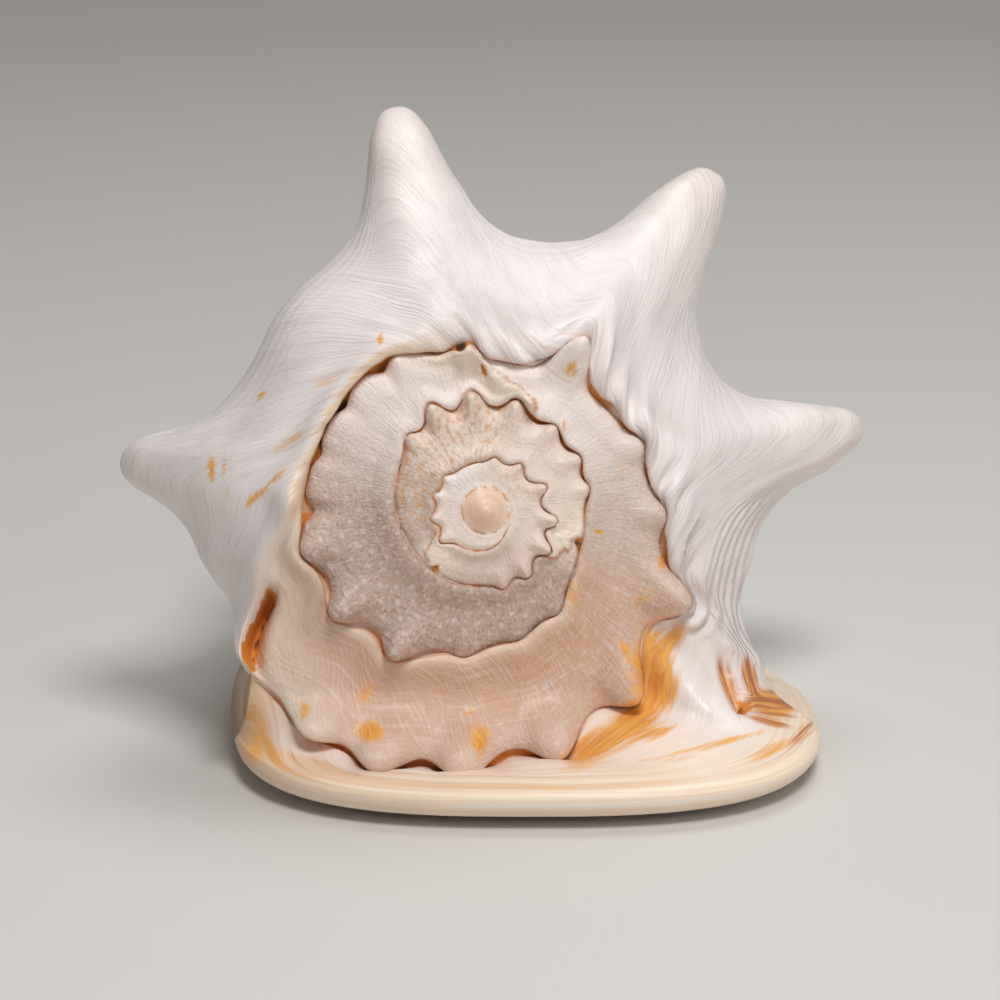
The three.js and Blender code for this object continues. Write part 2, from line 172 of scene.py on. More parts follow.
@dataclass(frozen=True)
class Sector:
    """A stretch of growth with soft ends, in degrees."""

    start: float
    end: float
    soft: float
    strength: float = 1.0
    fade: float = 0.0

    def __call__(self, angle: Array) -> Array:
        """Strength at growth angles: it fades as softly as it starts unless told otherwise."""
        rise = smoothstep(angle, self.start, self.start + self.soft)
        return self.strength * rise * (1 - smoothstep(angle, self.end - (self.fade or self.soft), self.end))


@dataclass(frozen=True)
class SpireFrame:
    """The spire's own frame: it is tipped back, and out points away from the shell."""

    apex: tuple[float, float, float] = (-3.4, -54.2, 69.4)
    tip: float = math.radians(17)
    cone_slope: float = 0.187
    lean_right: float = -0.255
    lean_up: float = 0.258
    foot_bulge: float = 9.0
    foot_from: Span = (42.0, 62.0)

    def point(self, angle: Array, radius: Array, out: Array) -> Array:
        """Places a point by its angle and distance from the apex.

        Args:
            angle: Growth angle.
            radius: Distance from the apex in the spire's plane.
            out: Height over that plane.

        Returns:
            Points in the growth frame.
        """
        turn = np.radians(angle)
        up = radius * np.cos(turn)
        x = self.apex[0] + radius * np.sin(turn)
        y = self.apex[1] + up * math.sin(self.tip) - out * math.cos(self.tip)
        z = self.apex[2] + up * math.cos(self.tip) + out * math.sin(self.tip)
        return points(x, y, z)

    def outward(self) -> Array:
        """Direction away from the shell."""
        return np.array([0, -math.cos(self.tip), math.sin(self.tip)])

    def radial(self, angle: Array) -> Array:
        """Direction away from the apex."""
        turn = np.radians(angle)
        return points(np.sin(turn), np.cos(turn) * math.sin(self.tip), np.cos(turn) * math.cos(self.tip))

    def plane(self, places: Array) -> tuple[Array, Array]:
        """How far places lie to the right of the apex and above it, in the spire's plane."""
        up = (places[..., 1] - self.apex[1]) * math.sin(self.tip)
        return places[..., 0] - self.apex[0], up + (places[..., 2] - self.apex[2]) * math.cos(self.tip)

    def face(self, angle: Array, radius: Array) -> Array:
        """Height of the leaning cone that the whorls lie on.

        Args:
            angle: Growth angle.
            radius: Distance from the apex.

        Returns:
            Height over the spire's plane.
        """
        right = radius * np.sin(np.radians(angle))
        up = radius * np.cos(np.radians(angle))
        foot = self.foot_bulge * smoothstep(-up, *self.foot_from)
        return self.lean_right * right + self.lean_up * up - self.cone_slope * radius + foot


@dataclass(frozen=True)
class Sutures:
    """The seams between the turns: the toothed edge of one turn and the lip of the next."""

    base: Curve = Curve((
        (-960, 6.5), (-600, 6.5), (-540, 9.6), (-470, 11.3), (-400, 11.4), (-335, 11.7), (-278, 13),
        (-224, 16), (-177, 18.2), (-120, 19.4), (-60, 22.8), (-10, 24.2), (50, 23.4), (110, 24.2),
        (150, 29.5), (180, 33), (225, 38.5), (270, 41.5), (322, 41.3), (345, 37.5), (365, 35.2),
        (410, 37.6), (450, 40.5), (475, 45.5), (490, 48.6), (510, 54), (535, 57.4), (560, 60.6),
        (595, 68),
    ))
    node_width: float = 6.5
    early_width: float = 8.2
    early_ends: Span = (-260.0, -20.0)
    nodes: Pairs = (
        (-485, 2), (-460, 1.6), (-435, 1.3), (-412, 1.2), (-350, 1), (-322, 1.8), (-291, 2.8),
        (-261, 3.4), (-237, 3), (-213, 2.4), (-193, 1.7), (-47, 2), (-28, 4), (-7, 3.8), (16, 3),
        (40, 2.3), (61, 2.3), (78, 1.8), (144, 1.6), (165, 1), (188, 1.5), (212, 5.2), (235, 5.2),
        (257, 3.6), (329, 1.6), (354, 3.4), (390, 11), (427.5, 2.2), (451.5, 2.6), (475, 9.6),
        (501, 8), (523, 6.8), (545, 6.4), (563, 6.6), (578, 4.6),
    )
    pocket_width: float = 3.4
    pockets: Pairs = ((269.7, 2.6), (288.9, 1.3), (306.2, 1.5), (323.6, 2.2))
    hole_width: float = 2.6
    holes: Pairs = ((-139, 1.6), (109.7, 1.4), (351.5, 1.8))
    ridge_width: float = 4.8
    bridge_width: float = 20.0
    openness: Curve = Curve((
        (-960, 0), (10, 0), (24, 0.45), (80, 0.4), (98, 0.05), (190, 0.1), (205, 0.4), (258, 0.4),
        (268, 0.6), (338, 0.6), (350, 0.1), (398, 0.1), (407, 0.28), (416, 0.28), (424, 0.1),
        (456, 0.1), (463, 0.32), (469, 0.1), (480, 0.08), (522, 0.1), (532, 0.4), (548, 0.45),
        (572, 0.5), (584, 0.35), (595, 0.1),
    ))
    # Rust along each seam, running into painted shade where the seam gapes open.
    seam_rust_and_shade: Curve = Curve((
        (-960, 0.42), (-178, 0.42), (-150, 0.1), (-85, 0.1), (-62, 0.4), (10, 0.4), (24, 0.7),
        (80, 0.62), (98, 0.28), (190, 0.25), (258, 0.45), (268, 0.7), (326, 0.7), (335, 0.3),
        (350, 0.35), (358, 0.25), (396, 0.25), (405, 0.55), (425, 0.3), (455, 0.25), (465, 0.5),
        (480, 0.25), (525, 0.3), (535, 0.85), (560, 0.75), (575, 0.6), (586, 0.3), (595, 0.05),
    ))
    hides: Span = (256.0, 264.0)
    shows: Span = (332.0, 345.0)
    gap: float = 0.12
    gap_share: float = 0.003
    noise: Unevenness = Unevenness(5)
    uneven_step: float = 6.0
    uneven_mean: float = 0.85
    uneven_swing: float = 0.5
    # Painted shade added in the seam's holes.
    hole_painted_shade: float = 0.5

    def raised(self, angle: Array, width: float) -> Array:
        """Sum of the shoulder nodes, each as wide as its place along the growth makes it."""
        angle = np.asarray(angle, float)
        return sum(reach * bell(angle - at, self.widened(at) * width) for at, reach in self.nodes)

    def reach(self, angle: Array) -> Array:
        """How far the shoulder nodes push the seam outward."""
        return self.raised(angle, self.node_width)

    def widened(self, at: float) -> float:
        """How much wider the nodes of the small early turns are."""
        return float(lerp(self.early_width / self.node_width, 1.0, smoothstep(at, *self.early_ends)))

    def tooth(self, angle: Array) -> Array:
        """Distance from the apex to the toothed edge of the inner turn.

        Args:
            angle: Growth angle of the outer turn.

        Returns:
            Distances in the spire's plane.
        """
        angle = np.asarray(angle, float)
        hidden = smoothstep(angle, *self.hides) * (1 - smoothstep(angle, *self.shows))
        open_edge = self.base(angle) + self.reach(angle) - self.broken(angle)
        return lerp(open_edge, self.lip(angle) - self.gap - self.tucks(angle), hidden)

    def broken(self, angle: Array) -> Array:
        """How far small holes in the seam draw the toothed edge in."""
        return sum(depth * bell(angle - at, self.hole_width) for at, depth in self.holes)

    def shade(self, angle: Array) -> Array:
        """Seam rust, uneven along its length, and painted shade where it gapes and in its holes."""
        uneven = self.uneven_mean + self.uneven_swing * self.noise(angle / self.uneven_step, 0.0)
        return np.clip(self.seam_rust_and_shade(angle) * uneven + self.hole_painted_shade * self.broken(angle), 0, 1)

    def ridge(self, angle: Array) -> Array:
        """Height of the ridges that run in from the shoulder nodes."""
        return self.raised(angle, self.ridge_width)

    def tucks(self, angle: Array) -> Array:
        """How far the pockets under the body whorl's lip draw the toothed edge in."""
        angle = np.asarray(angle, float)
        return sum(depth * bell(angle - at, self.pocket_width) for at, depth in self.pockets)

    def lip(self, angle: Array) -> Array:
        """Distance from the apex to the inner edge of the outer turn.

        Args:
            angle: Growth angle of the outer turn.

        Returns:
            Distances in the spire's plane.
        """
        angle = np.asarray(angle, float)
        spans = [reach * bell(angle - at, self.bridge_width) for at, reach in self.nodes]
        bridge = np.max(spans, axis=0)
        reach = self.reach(angle)
        base = self.base(angle)
        bridged = reach + self.openness(angle) * np.maximum(bridge - reach, 0)
        return base + bridged + self.gap + self.gap_share * base


@dataclass(frozen=True)
class Varix:
    """An old lip that crosses a whorl."""

    path: Curve
    height: float
    rise: float
    fall: float
    slot: float = 0.0
    ragged: float = 0.0
    noise: Unevenness = Unevenness(8)

    SLOT_BEHIND = 7.0
    SLOT_WIDTH = 2.7
    SLOT_OPENS = (0.42, 0.6)
    SLOT_CLOSES = (0.9, 1.0)
    RAGGED_STEPS = 9.0
    RAGGED_ROW = 0.5
    FRINGE = 0.6
    FRINGE_STEPS = 40.0
    RUST = 0.55
    RUST_AT = 0.4
    RUST_SPAN = (0.2, 0.6)
    # Painted shade at the bottom of the slot, over the rust.
    DEEP_SHADE = 0.9
    DEEP_SHADE_AT = -1.1
    DEEP_SHADE_WIDTH = 0.8

    def past(self, angle: Array, share: Array) -> Array:
        """Degrees of growth after the old lip's crest."""
        ragged = self.ragged * self.noise(share * self.RAGGED_STEPS, self.RAGGED_ROW)
        return angle - self.path(share) + ragged

    def slot_reach(self, share: Array) -> Array:
        """Where across the whorl the slot is open."""
        return smoothstep(share, *self.SLOT_OPENS) * (1 - smoothstep(share, *self.SLOT_CLOSES))

    def slot_rust_and_shade(self, angle: Array, share: Array) -> Array:
        """Rusty colour under the turned-back lip, with painted shade where the slot goes deepest.

        Args:
            angle: Growth angle.
            share: Share of the way from the seam to the shoulder.

        Returns:
            0 for none to 1 for black painted shade.
        """
        fringe = self.FRINGE * self.noise(share * self.FRINGE_STEPS, 0.0)
        past = self.past(angle, share) + self.SLOT_BEHIND + fringe
        rusty = self.RUST * smoothstep(bell(past - self.RUST_AT, self.SLOT_WIDTH), *self.RUST_SPAN)
        painted_shade = self.DEEP_SHADE * bell(past - self.DEEP_SHADE_AT, self.DEEP_SHADE_WIDTH)
        return self.slot_reach(share) * np.maximum(rusty, painted_shade)

    def out(self, angle: Array, share: Array) -> Array:
        """Height of the ridge, with the open slot under a turned-back lip.

        Args:
            angle: Growth angle.
            share: Share of the way from the seam to the shoulder.

        Returns:
            Height over the whorl.
        """
        past = self.past(angle, share)
        ridge = self.height * np.where(past < 0, bell(past, self.rise), bell(past, self.fall))
        return ridge - self.slot * self.slot_reach(share) * bell(past + self.SLOT_BEHIND, self.SLOT_WIDTH)


class HornPart(Enum):
    """What a horn adds to the outline: how far it stands out, and how far it sweeps back."""

    HEIGHT = "height"
    SWEEP = "sweep"


@dataclass(frozen=True)
class Horn:
    """One blunt horn on the shoulder."""

    angle: float
    height: float
    width: float
    sweep: float

    POWER = 2.7
    RADIUS = 80.0

    @classmethod
    def share(cls, distance: Array, width: float) -> Array:
        """Height at a distance from a horn's axis, as a share of the whole."""
        return 1 / (1 + (np.abs(distance) / width) ** cls.POWER)

    def at(self, angle: Array) -> Array:
        """Share of this horn's height at a growth angle."""
        return self.share(self.RADIUS * np.radians(turn_between(angle, self.angle)), self.width)


HORNS = (
    Horn(277.7, 22, 9.6, 10),
    Horn(347.1, 36, 10.5, 12),
    Horn(394.1, 35, 10.5, 12),
    Horn(437.6, 31, 10, 12),
    Horn(480.3, 10.5, 4.4, 3),
)


OLD_LIP_PATH = Curve(((0, 276), (0.06, 272), (0.27, 262), (0.59, 253), (0.9, 245), (1, 240.5)))


@dataclass(frozen=True)
class Whorls:
    """The spiral band: spire whorls with stepped, toothed shoulders, and the horned body whorl."""

    spire: SpireFrame = SpireFrame()
    sutures: Sutures = Sutures()
    varices: tuple[Varix, ...] = (
        Varix(Curve(((0, -475), (1, -495))), 0.8, 9, 2.5, ragged=3),
        Varix(Curve(((0, -232), (1, -256))), 1.5, 10, 1.6, ragged=3),
        Varix(Curve(((0, 28), (1, -8))), 4.0, 13, 1.2, ragged=3),
        Varix(OLD_LIP_PATH, 6.5, 4, 9, 8.5),
    )
    full_width: float = 12.0
    lip_height: float = 1.1
    lip_share: float = 0.1
    lip_width: float = 0.14
    first_lip: Span = (-640.0, -520.0)
    least_width: float = 0.05
    least_relief: float = 0.12
    hollow: float = 0.03
    step: float = 0.13
    step_from: float = 0.35
    swell: float = 0.6
    node_span: Span = (0.3, 0.95)
    tuck: float = 0.9
    valley: float = 2.2
    valley_from: float = 0.55
    valley_clear: float = 4.0
    edge_round: float = 0.7
    edge_share: float = 0.06
    tooth_round: float = 1.3
    tooth_share: float = 0.14
    tooth_power: float = 2.5
    body_roll: Curve = Curve((
        (235, 2.2), (262, 3.4), (300, 3.8), (345, 2.6), (380, 2.4), (430, 2.8), (462, 2.4),
        (475, 1.2), (490, 0.3),
    ))
    body_lip_share: float = 0.07
    body_lip_width: float = 0.11
    body_edge_share: float = 0.04
    body_ridge_from: float = 0.05
    shoulder: Curve = Curve((
        (235, 70), (247, 65), (262, 68), (300, 65), (321, 68), (347, 64.5), (372, 63), (394, 65),
        (417, 62.5), (437, 65), (460, 65.5), (470, 66.5), (476, 69), (500, 73), (595, 73),
    ))
    shoulder_turn: float = 47.0
    face_reach: float = 60.0
    shoulder_drop: float = 17.5
    shoulder_power: float = 1.9
    turn_width: float = 6.0
    turn_drop: float = 4.5

    def scale(self, width: Array) -> Array:
        """How much of the full relief a whorl of this width has."""
        return np.clip(width / self.full_width, self.least_relief, 1)

    def ridges(self, angle: Array, share: Array) -> Array:
        """Height of the old lips."""
        return sum(varix.out(angle, share) for varix in self.varices)

    def lipped(self, angle: Array) -> Array:
        """How much of an inner lip a whorl has: the first turn has none."""
        return smoothstep(angle, *self.first_lip)

    def rounding(self, angle: Array, share: Array) -> Array:
        """Height of the turned edges of a whorl, which fall off at its two seams.

        Args:
            angle: Growth angle.
            share: 0 at the whorl's inner lip, 1 at its toothed edge.

        Returns:
            Heights of 0 or less.
        """
        inner = np.maximum(0, 1 - share / self.edge_share) * self.lipped(angle)
        outer = np.maximum(0, 1 - (1 - share) / self.tooth_share)
        return -self.edge_round * inner ** 2 - self.tooth_round * outer ** self.tooth_power

    def whorl(self, angle: Array, share: Array) -> Array:
        """A point of a spire whorl.

        Args:
            angle: Growth angle.
            share: 0 at the whorl's inner lip, 1 at its toothed edge.

        Returns:
            Points in the growth frame.
        """
        inner = self.sutures.lip(angle)
        outer = self.sutures.tooth(angle + 360)
        width = np.maximum(outer - inner, self.least_width)
        radius = inner + width * share
        size = self.scale(width)
        lip = self.lip_height * bell(share - self.lip_share, self.lip_width) * self.lipped(angle)
        step = self.step * smoothstep(share, self.step_from, 1) - self.hollow * np.sin(np.pi * share)
        near = smoothstep(share, *self.node_span)
        reach = self.sutures.ridge(angle + 360) - self.tuck * self.sutures.tucks(angle + 360)
        valley = self.valley * (1 - smoothstep(reach, 0, self.valley_clear))
        valley = valley * smoothstep(share, self.valley_from, 1)
        relief = step * width + self.swell * reach * near
        relief = relief + size * (lip + self.rounding(angle, share) - valley)
        ridge = self.ridges(angle, share) * smoothstep(share, 0, self.lip_share)
        return self.spire.point(angle, radius, self.spire.face(angle, radius) + relief + ridge)

    def horns(self, angle: Array, part: HornPart) -> Array:
        """Sum of the horns' heights or sweeps at a growth angle."""
        return sum(getattr(horn, part.value) * horn.at(angle) for horn in HORNS)

    def outline(self, angle: Array) -> Array:
        """Distance from the apex to the outline with the horns."""
        return self.shoulder(angle) + self.horns(angle, HornPart.HEIGHT)

    def body(self, angle: Array, share: Array) -> Array:
        """A point of the body whorl's front.

        Args:
            angle: Growth angle.
            share: 0 at the whorl's inner lip, 1 on the outline.

        Returns:
            Points in the growth frame.
        """
        inner = self.sutures.lip(angle)
        outer = self.outline(angle)
        radius = lerp(inner, outer, share)
        past = np.maximum(0, radius - self.shoulder_turn) / (outer - self.shoulder_turn)
        drop = (self.shoulder_drop + self.horns(angle, HornPart.SWEEP)) * past ** self.shoulder_power
        turned = np.clip(1 - (outer - radius) / self.turn_width, 0, 1)
        drop = drop + self.turn_drop * (1 - np.sqrt(1 - turned ** 2))
        relief = self.body_roll(angle) * bell(share - self.body_lip_share, self.body_lip_width)
        relief = relief - self.edge_round * np.maximum(0, 1 - share / self.body_edge_share) ** 2
        ridge = self.ridges(angle, share) * smoothstep(share, 0, self.body_ridge_from)
        out = self.spire.face(angle, np.minimum(radius, self.face_reach)) - drop + relief + ridge
        return self.spire.point(angle, radius, out)


@dataclass(frozen=True)
class Shield:
    """The ventral shield: its outline from above, its trough and its rounded rim."""

    centre: Span = (6.9, -27.0)
    half: Span = (71.9, 59.0)
    power: float = 2.8
    first_angle: float = 483.0
    last_angle: float = 595.0
    turn: float = math.radians(170)
    rim_top: float = 9.8
    rim_middle: float = 7.2
    rim_under: float = 4.2
    rim_curl: float = 24.0
    rim_round: float = 3.2
    top_round: float = 0.93
    fillet: float = 2.2
    lowest: float = 4.0
    seam_depth: float = 1.2

    def rim(self, angle: Array) -> Array:
        """The rim from the outer lip, round the front, to the left end.

        Args:
            angle: Growth angle.

        Returns:
            Points at the middle of the rim's edge.
        """
        share = (np.asarray(angle, float) - self.first_angle) / (self.last_angle - self.first_angle)
        turn = self.turn * share
        across, ahead = np.cos(turn), np.sin(np.maximum(turn, 0))
        bend = 2 / self.power
        x = self.centre[0] + self.half[0] * np.sign(across) * np.abs(across) ** bend
        return points(x, self.centre[1] - self.half[1] * ahead ** bend, self.rim_middle)

    def crevice(self, whorls: Whorls, angle: Array) -> Array:
        """The seam between the last nodes and the shield.

        Args:
            whorls: The whorls that end there.
            angle: Growth angle.

        Returns:
            Points in the growth frame.
        """
        radius = whorls.sutures.lip(angle)
        seam = whorls.spire.point(angle, radius, whorls.spire.face(angle, radius) - self.seam_depth)
        seam[..., 2] = np.maximum(seam[..., 2], self.lowest)
        return seam

    def top(self, whorls: Whorls, angle: Array, share: Array) -> Array:
        """The shield's upper face.

        Args:
            whorls: The whorls that it grows from.
            angle: Growth angle.
            share: 0 in the crevice, 1 on the rim.

        Returns:
            Points in the growth frame.
        """
        start = self.crevice(whorls, angle)
        face = lerp(start, self.rim(angle), np.asarray(share)[..., None])
        edge = np.clip((share - self.top_round) / (1 - self.top_round), 0, 1)
        top = self.rim_middle + (self.rim_top - self.rim_middle) * np.sqrt(1 - edge ** 2)
        face[..., 2] = top + (start[..., 2] - top) * (1 - share) ** self.fillet
        return face


@dataclass(frozen=True)
class Slit:
    """The aperture in the underside, with teeth on the outer lip and folds on the inner one."""

    start: Span = (33.0, -26.0)
    end: Span = (-9.0, 97.0)
    opens: Span = (-29.0, -21.0)
    closes: Span = (91.0, 101.0)
    taper: Span = (0.04, 0.94)
    bend: float = 7.0
    half_width: float = 7.5
    teeth: int = 9
    tooth: float = 2.4
    folds: int = 14
    fold: float = 1.3
    top: float = 24.0
    wall: float = 1.5
    column: float = 0.64

    def along(self, y: Array) -> Array:
        """Share of the slit's length at a place along the shell."""
        return np.clip((y - self.start[1]) / (self.end[1] - self.start[1]), 0, 1)

    def middle(self, y: Array) -> Array:
        """The slit's middle line."""
        along = self.along(y)
        return lerp(self.start[0], self.end[0], along) + self.bend * np.sin(np.pi * along)

    def depth(self, x: Array, y: Array) -> Array:
        """How far into the slit a place of the underside lies.

        Args:
            x: Places across the shell.
            y: Places along the shell.

        Returns:
            0 outside the slit, 1 inside it.
        """
        along = self.along(y)
        ends = smoothstep(y, *self.opens) * (1 - smoothstep(y, *self.closes))
        taper = np.sqrt(np.sin(np.pi * lerp(*self.taper, along)))
        teeth = self.tooth * np.maximum(0, np.sin(2 * np.pi * self.teeth * along))
        folds = self.fold * np.maximum(0, np.sin(2 * np.pi * self.folds * along))
        aside = x - self.middle(y)
        half = self.half_width * taper - np.where(aside > 0, teeth, folds)
        return ends * (1 - smoothstep(np.abs(aside), half - self.wall, half + self.wall))


@dataclass(frozen=True)
class Back:
    """The body behind the horns: an arch over the flat underside, closing to the upturned canal."""

    shield: Shield = Shield()
    slit: Slit = Slit()
    tail_y: float = 112.0
    axis_x: float = -4.0
    axis_drift: float = -0.1
    drift_from: float = 10.0
    half_width: Curve = Curve((
        (-90, 69), (-30, 69), (0, 64.5), (30, 57), (60, 46), (85, 31), (103, 15), (112, 9),
    ))
    height: Curve = Curve((
        (-90, 128), (-20, 126), (5, 118), (30, 108), (60, 90), (85, 66), (103, 41), (112, 27),
    ))
    left: Curve = Curve((
        (-90, -64.5), (-46, -64.5), (-24, -66.8), (-6, -67.4), (15, -66), (38, -58), (60, -46),
        (85, -31.5), (103, -24), (112, -23),
    ))
    right: Curve = Curve((
        (-90, 78.8), (-27, 78.8), (-8, 76.6), (3, 71.5), (16, 67), (36, 61), (60, 48.5), (85, 27),
        (103, 4), (112, -5),
    ))
    canal_lift: float = 22.0
    canal_from: float = 66.0
    flange_height: float = 9.0
    flange_share: float = 0.25
    flange_hollow: float = 0.1
    flange_right: float = 112.0
    flange_left: float = 225.0
    rim_fade: float = 40.0
    knob_rows: Pairs = ((34, 4.5), (60, 3.2))
    knob_angles: tuple[float, ...] = (292, 322, 352, 22, 52, 82)
    knob_angle: float = 8.0
    knob_length: float = 8.0
    slit_draws: Span = (0.1, 0.35)
    slit_drawn: Span = (-72.0, -28.0)

    def lift(self, y: Array) -> Array:
        """How far the canal end turns up."""
        return self.canal_lift * smoothstep(y, self.canal_from, self.tail_y)

    def arch(self, angle: Array, y: Array) -> Array:
        """A point of the arch over the shell.

        Args:
            angle: Direction around the arch, from straight up.
            y: Place along the shell.

        Returns:
            Points in the growth frame.
        """
        around = sum(bell(turn_between(angle, at), self.knob_angle) for at in self.knob_angles)
        knobs = around * sum(high * bell(y - at, self.knob_length) for at, high in self.knob_rows)
        middle = self.height(y) / 2
        turn = np.radians(angle)
        axis = self.axis_x + self.axis_drift * (y - self.drift_from)
        x = axis + (self.half_width(y) + knobs) * np.sin(turn)
        return points(x, y, middle + (middle + knobs) * np.cos(turn) + self.lift(y))

    def edge_height(self, y: Array) -> Array:
        """Height of the rim's middle over the lifted underside."""
        shield = self.shield
        return lerp(shield.rim_under, shield.rim_middle, smoothstep(self.tail_y - y, 0, self.rim_fade))

    def under(self, x: Array, y: Array) -> Array:
        """A point of the underside: flat where the shell rests, curling up to the rim.

        Args:
            x: Place across the shell.
            y: Place along the shell.

        Returns:
            Points in the growth frame.
        """
        shield = self.shield
        left, right = self.left(y), self.right(y)
        half = (right - left) / 2
        across = np.abs(x - (left + right) / 2) / half
        ahead = np.maximum(0, shield.centre[1] - y) / shield.half[1]
        reach = (across ** shield.power + ahead ** shield.power) ** (1 / shield.power)
        inside = np.maximum(0, 1 - reach) * half
        curl = shield.rim_under * np.maximum(0, 1 - inside / shield.rim_curl) ** 2
        turned = np.sqrt(1 - (1 - np.clip(inside / shield.rim_round, 0, 1)) ** 2)
        z = lerp(self.edge_height(y), curl, turned) + self.lift(y)
        return points(x, y, lerp(z, np.maximum(z, self.slit.top), self.slit.depth(x, y)))

    def under_column(self, column: Array, y: Array) -> Array:
        """A point of the underside by its column, so that columns run along the slit.

        Args:
            column: 0 at the left rim, 1 at the right rim.
            y: Place along the shell.

        Returns:
            Points in the growth frame.
        """
        left, right = self.left(y), self.right(y)
        wanted = (self.slit.middle(y) - left) / (right - left)
        near = 1 - smoothstep(np.abs(column - self.slit.column), *self.slit_draws)
        drawn = near * smoothstep(y, *self.slit_drawn)
        return self.under(lerp(left, right, column + (wanted - self.slit.column) * drawn), y)

    def flange(self, side: int, share: Array, y: Array) -> Array:
        """The hollow corner between the body's flank and the shield's edge.

        Args:
            side: -1 on the left, 1 on the right.
            share: 0 on the flank, 1 on the rim.
            y: Place along the shell.

        Returns:
            Points in the growth frame.
        """
        flank = self.arch(self.flange_left if side < 0 else self.flange_right, y)
        rim = points(self.left(y) if side < 0 else self.right(y), y, self.edge_height(y) + self.lift(y))
        height = self.lift(y) + np.minimum(self.flange_height, self.flange_share * self.height(y))
        corner = points(flank[..., 0] - side * self.flange_hollow * self.half_width(y), y, height)
        share = np.asarray(share)[..., None]
        return flank * (1 - share) ** 2 + corner * 2 * share * (1 - share) + rim * share ** 2


class Skin:
    """Points with their traits, and the faces between them."""

    def __init__(self) -> None:
        """Starts an empty skin."""
        self.places: list[Array] = []
        self.traits: dict[Trait, list[Array]] = {trait: [] for trait in Trait}
        self.faces: list[Array] = []
        self.count = 0

    def add(self, places: Array, traits: dict[Trait, Array]) -> Array:
        """Adds points.

        Args:
            places: Points of any shape, with coordinates last.
            traits: What each point remembers; what is left out is 0.

        Returns:
            The new points' numbers, in the same shape.
        """
        shape = places.shape[:-1]
        size = int(np.prod(shape))
        self.places.append(places.reshape(-1, 3))
        for trait, kept in self.traits.items():
            kept.append(np.broadcast_to(traits.get(trait, 0.0), shape).reshape(-1).astype(float))
        self.count += size
        return np.arange(self.count - size, self.count).reshape(shape)

    def quads(self, a: Array, b: Array, c: Array, d: Array) -> None:
        """Adds four-sided faces."""
        self.faces.append(np.stack([a, b, c, d], -1).reshape(-1, 4))

    def fan(self, hub: int, rim: Array) -> None:
        """Closes a ring of points to one hub."""
        after = np.roll(rim, -1)
        self.faces.append(np.stack([np.full_like(rim, hub), rim, after, after], -1))

    def place(self) -> Array:
        """All points."""
        return np.concatenate(self.places)

    def trait(self, trait: Trait) -> Array:
        """One trait of all points."""
        return np.concatenate(self.traits[trait])


@dataclass(frozen=True)
class Spot:
    """A mark on the front, by its place to the right of the apex and above it, turned clockwise."""

    right: float
    up: float
    half_width: float
    half_height: float
    strength: float
    turn: float = 0.0

    SOFT = 1.5
    SPREAD = 1.2
    FAINT = 0.02

    def within(self, right: Array, up: Array) -> tuple[Array, Array]:
        """Places in the mark's own frame, as shares of its half width and half height.

        Args:
            right: Places to the right of the apex.
            up: Places above the apex.

        Returns:
            Shares across the mark and up it.
        """
        turn = math.radians(self.turn)
        dx, dy = right - self.right, up - self.up
        wide = (dx * math.cos(turn) + dy * math.sin(turn)) / (self.SPREAD * self.half_width)
        return wide, (dy * math.cos(turn) - dx * math.sin(turn)) / (self.SPREAD * self.half_height)

    def shade(self, right: Array, up: Array) -> Array:
        """Strength of the mark at places right of the apex and above it."""
        wide, high = self.within(right, up)
        return self.strength * np.exp(-(wide ** 2 + high ** 2) ** self.SOFT)

    def aside(self, right: Array, up: Array) -> Array:
        """Place across the mark's narrow way.

        Args:
            right: Places to the right of the apex.
            up: Places above the apex.

        Returns:
            -1 to 1 on the mark, and 0 away from it.
        """
        wide, high = self.within(right, up)
        narrow = wide if self.half_width < self.half_height else high
        return np.clip(narrow, -1, 1) * (self.shade(right, up) > self.FAINT)


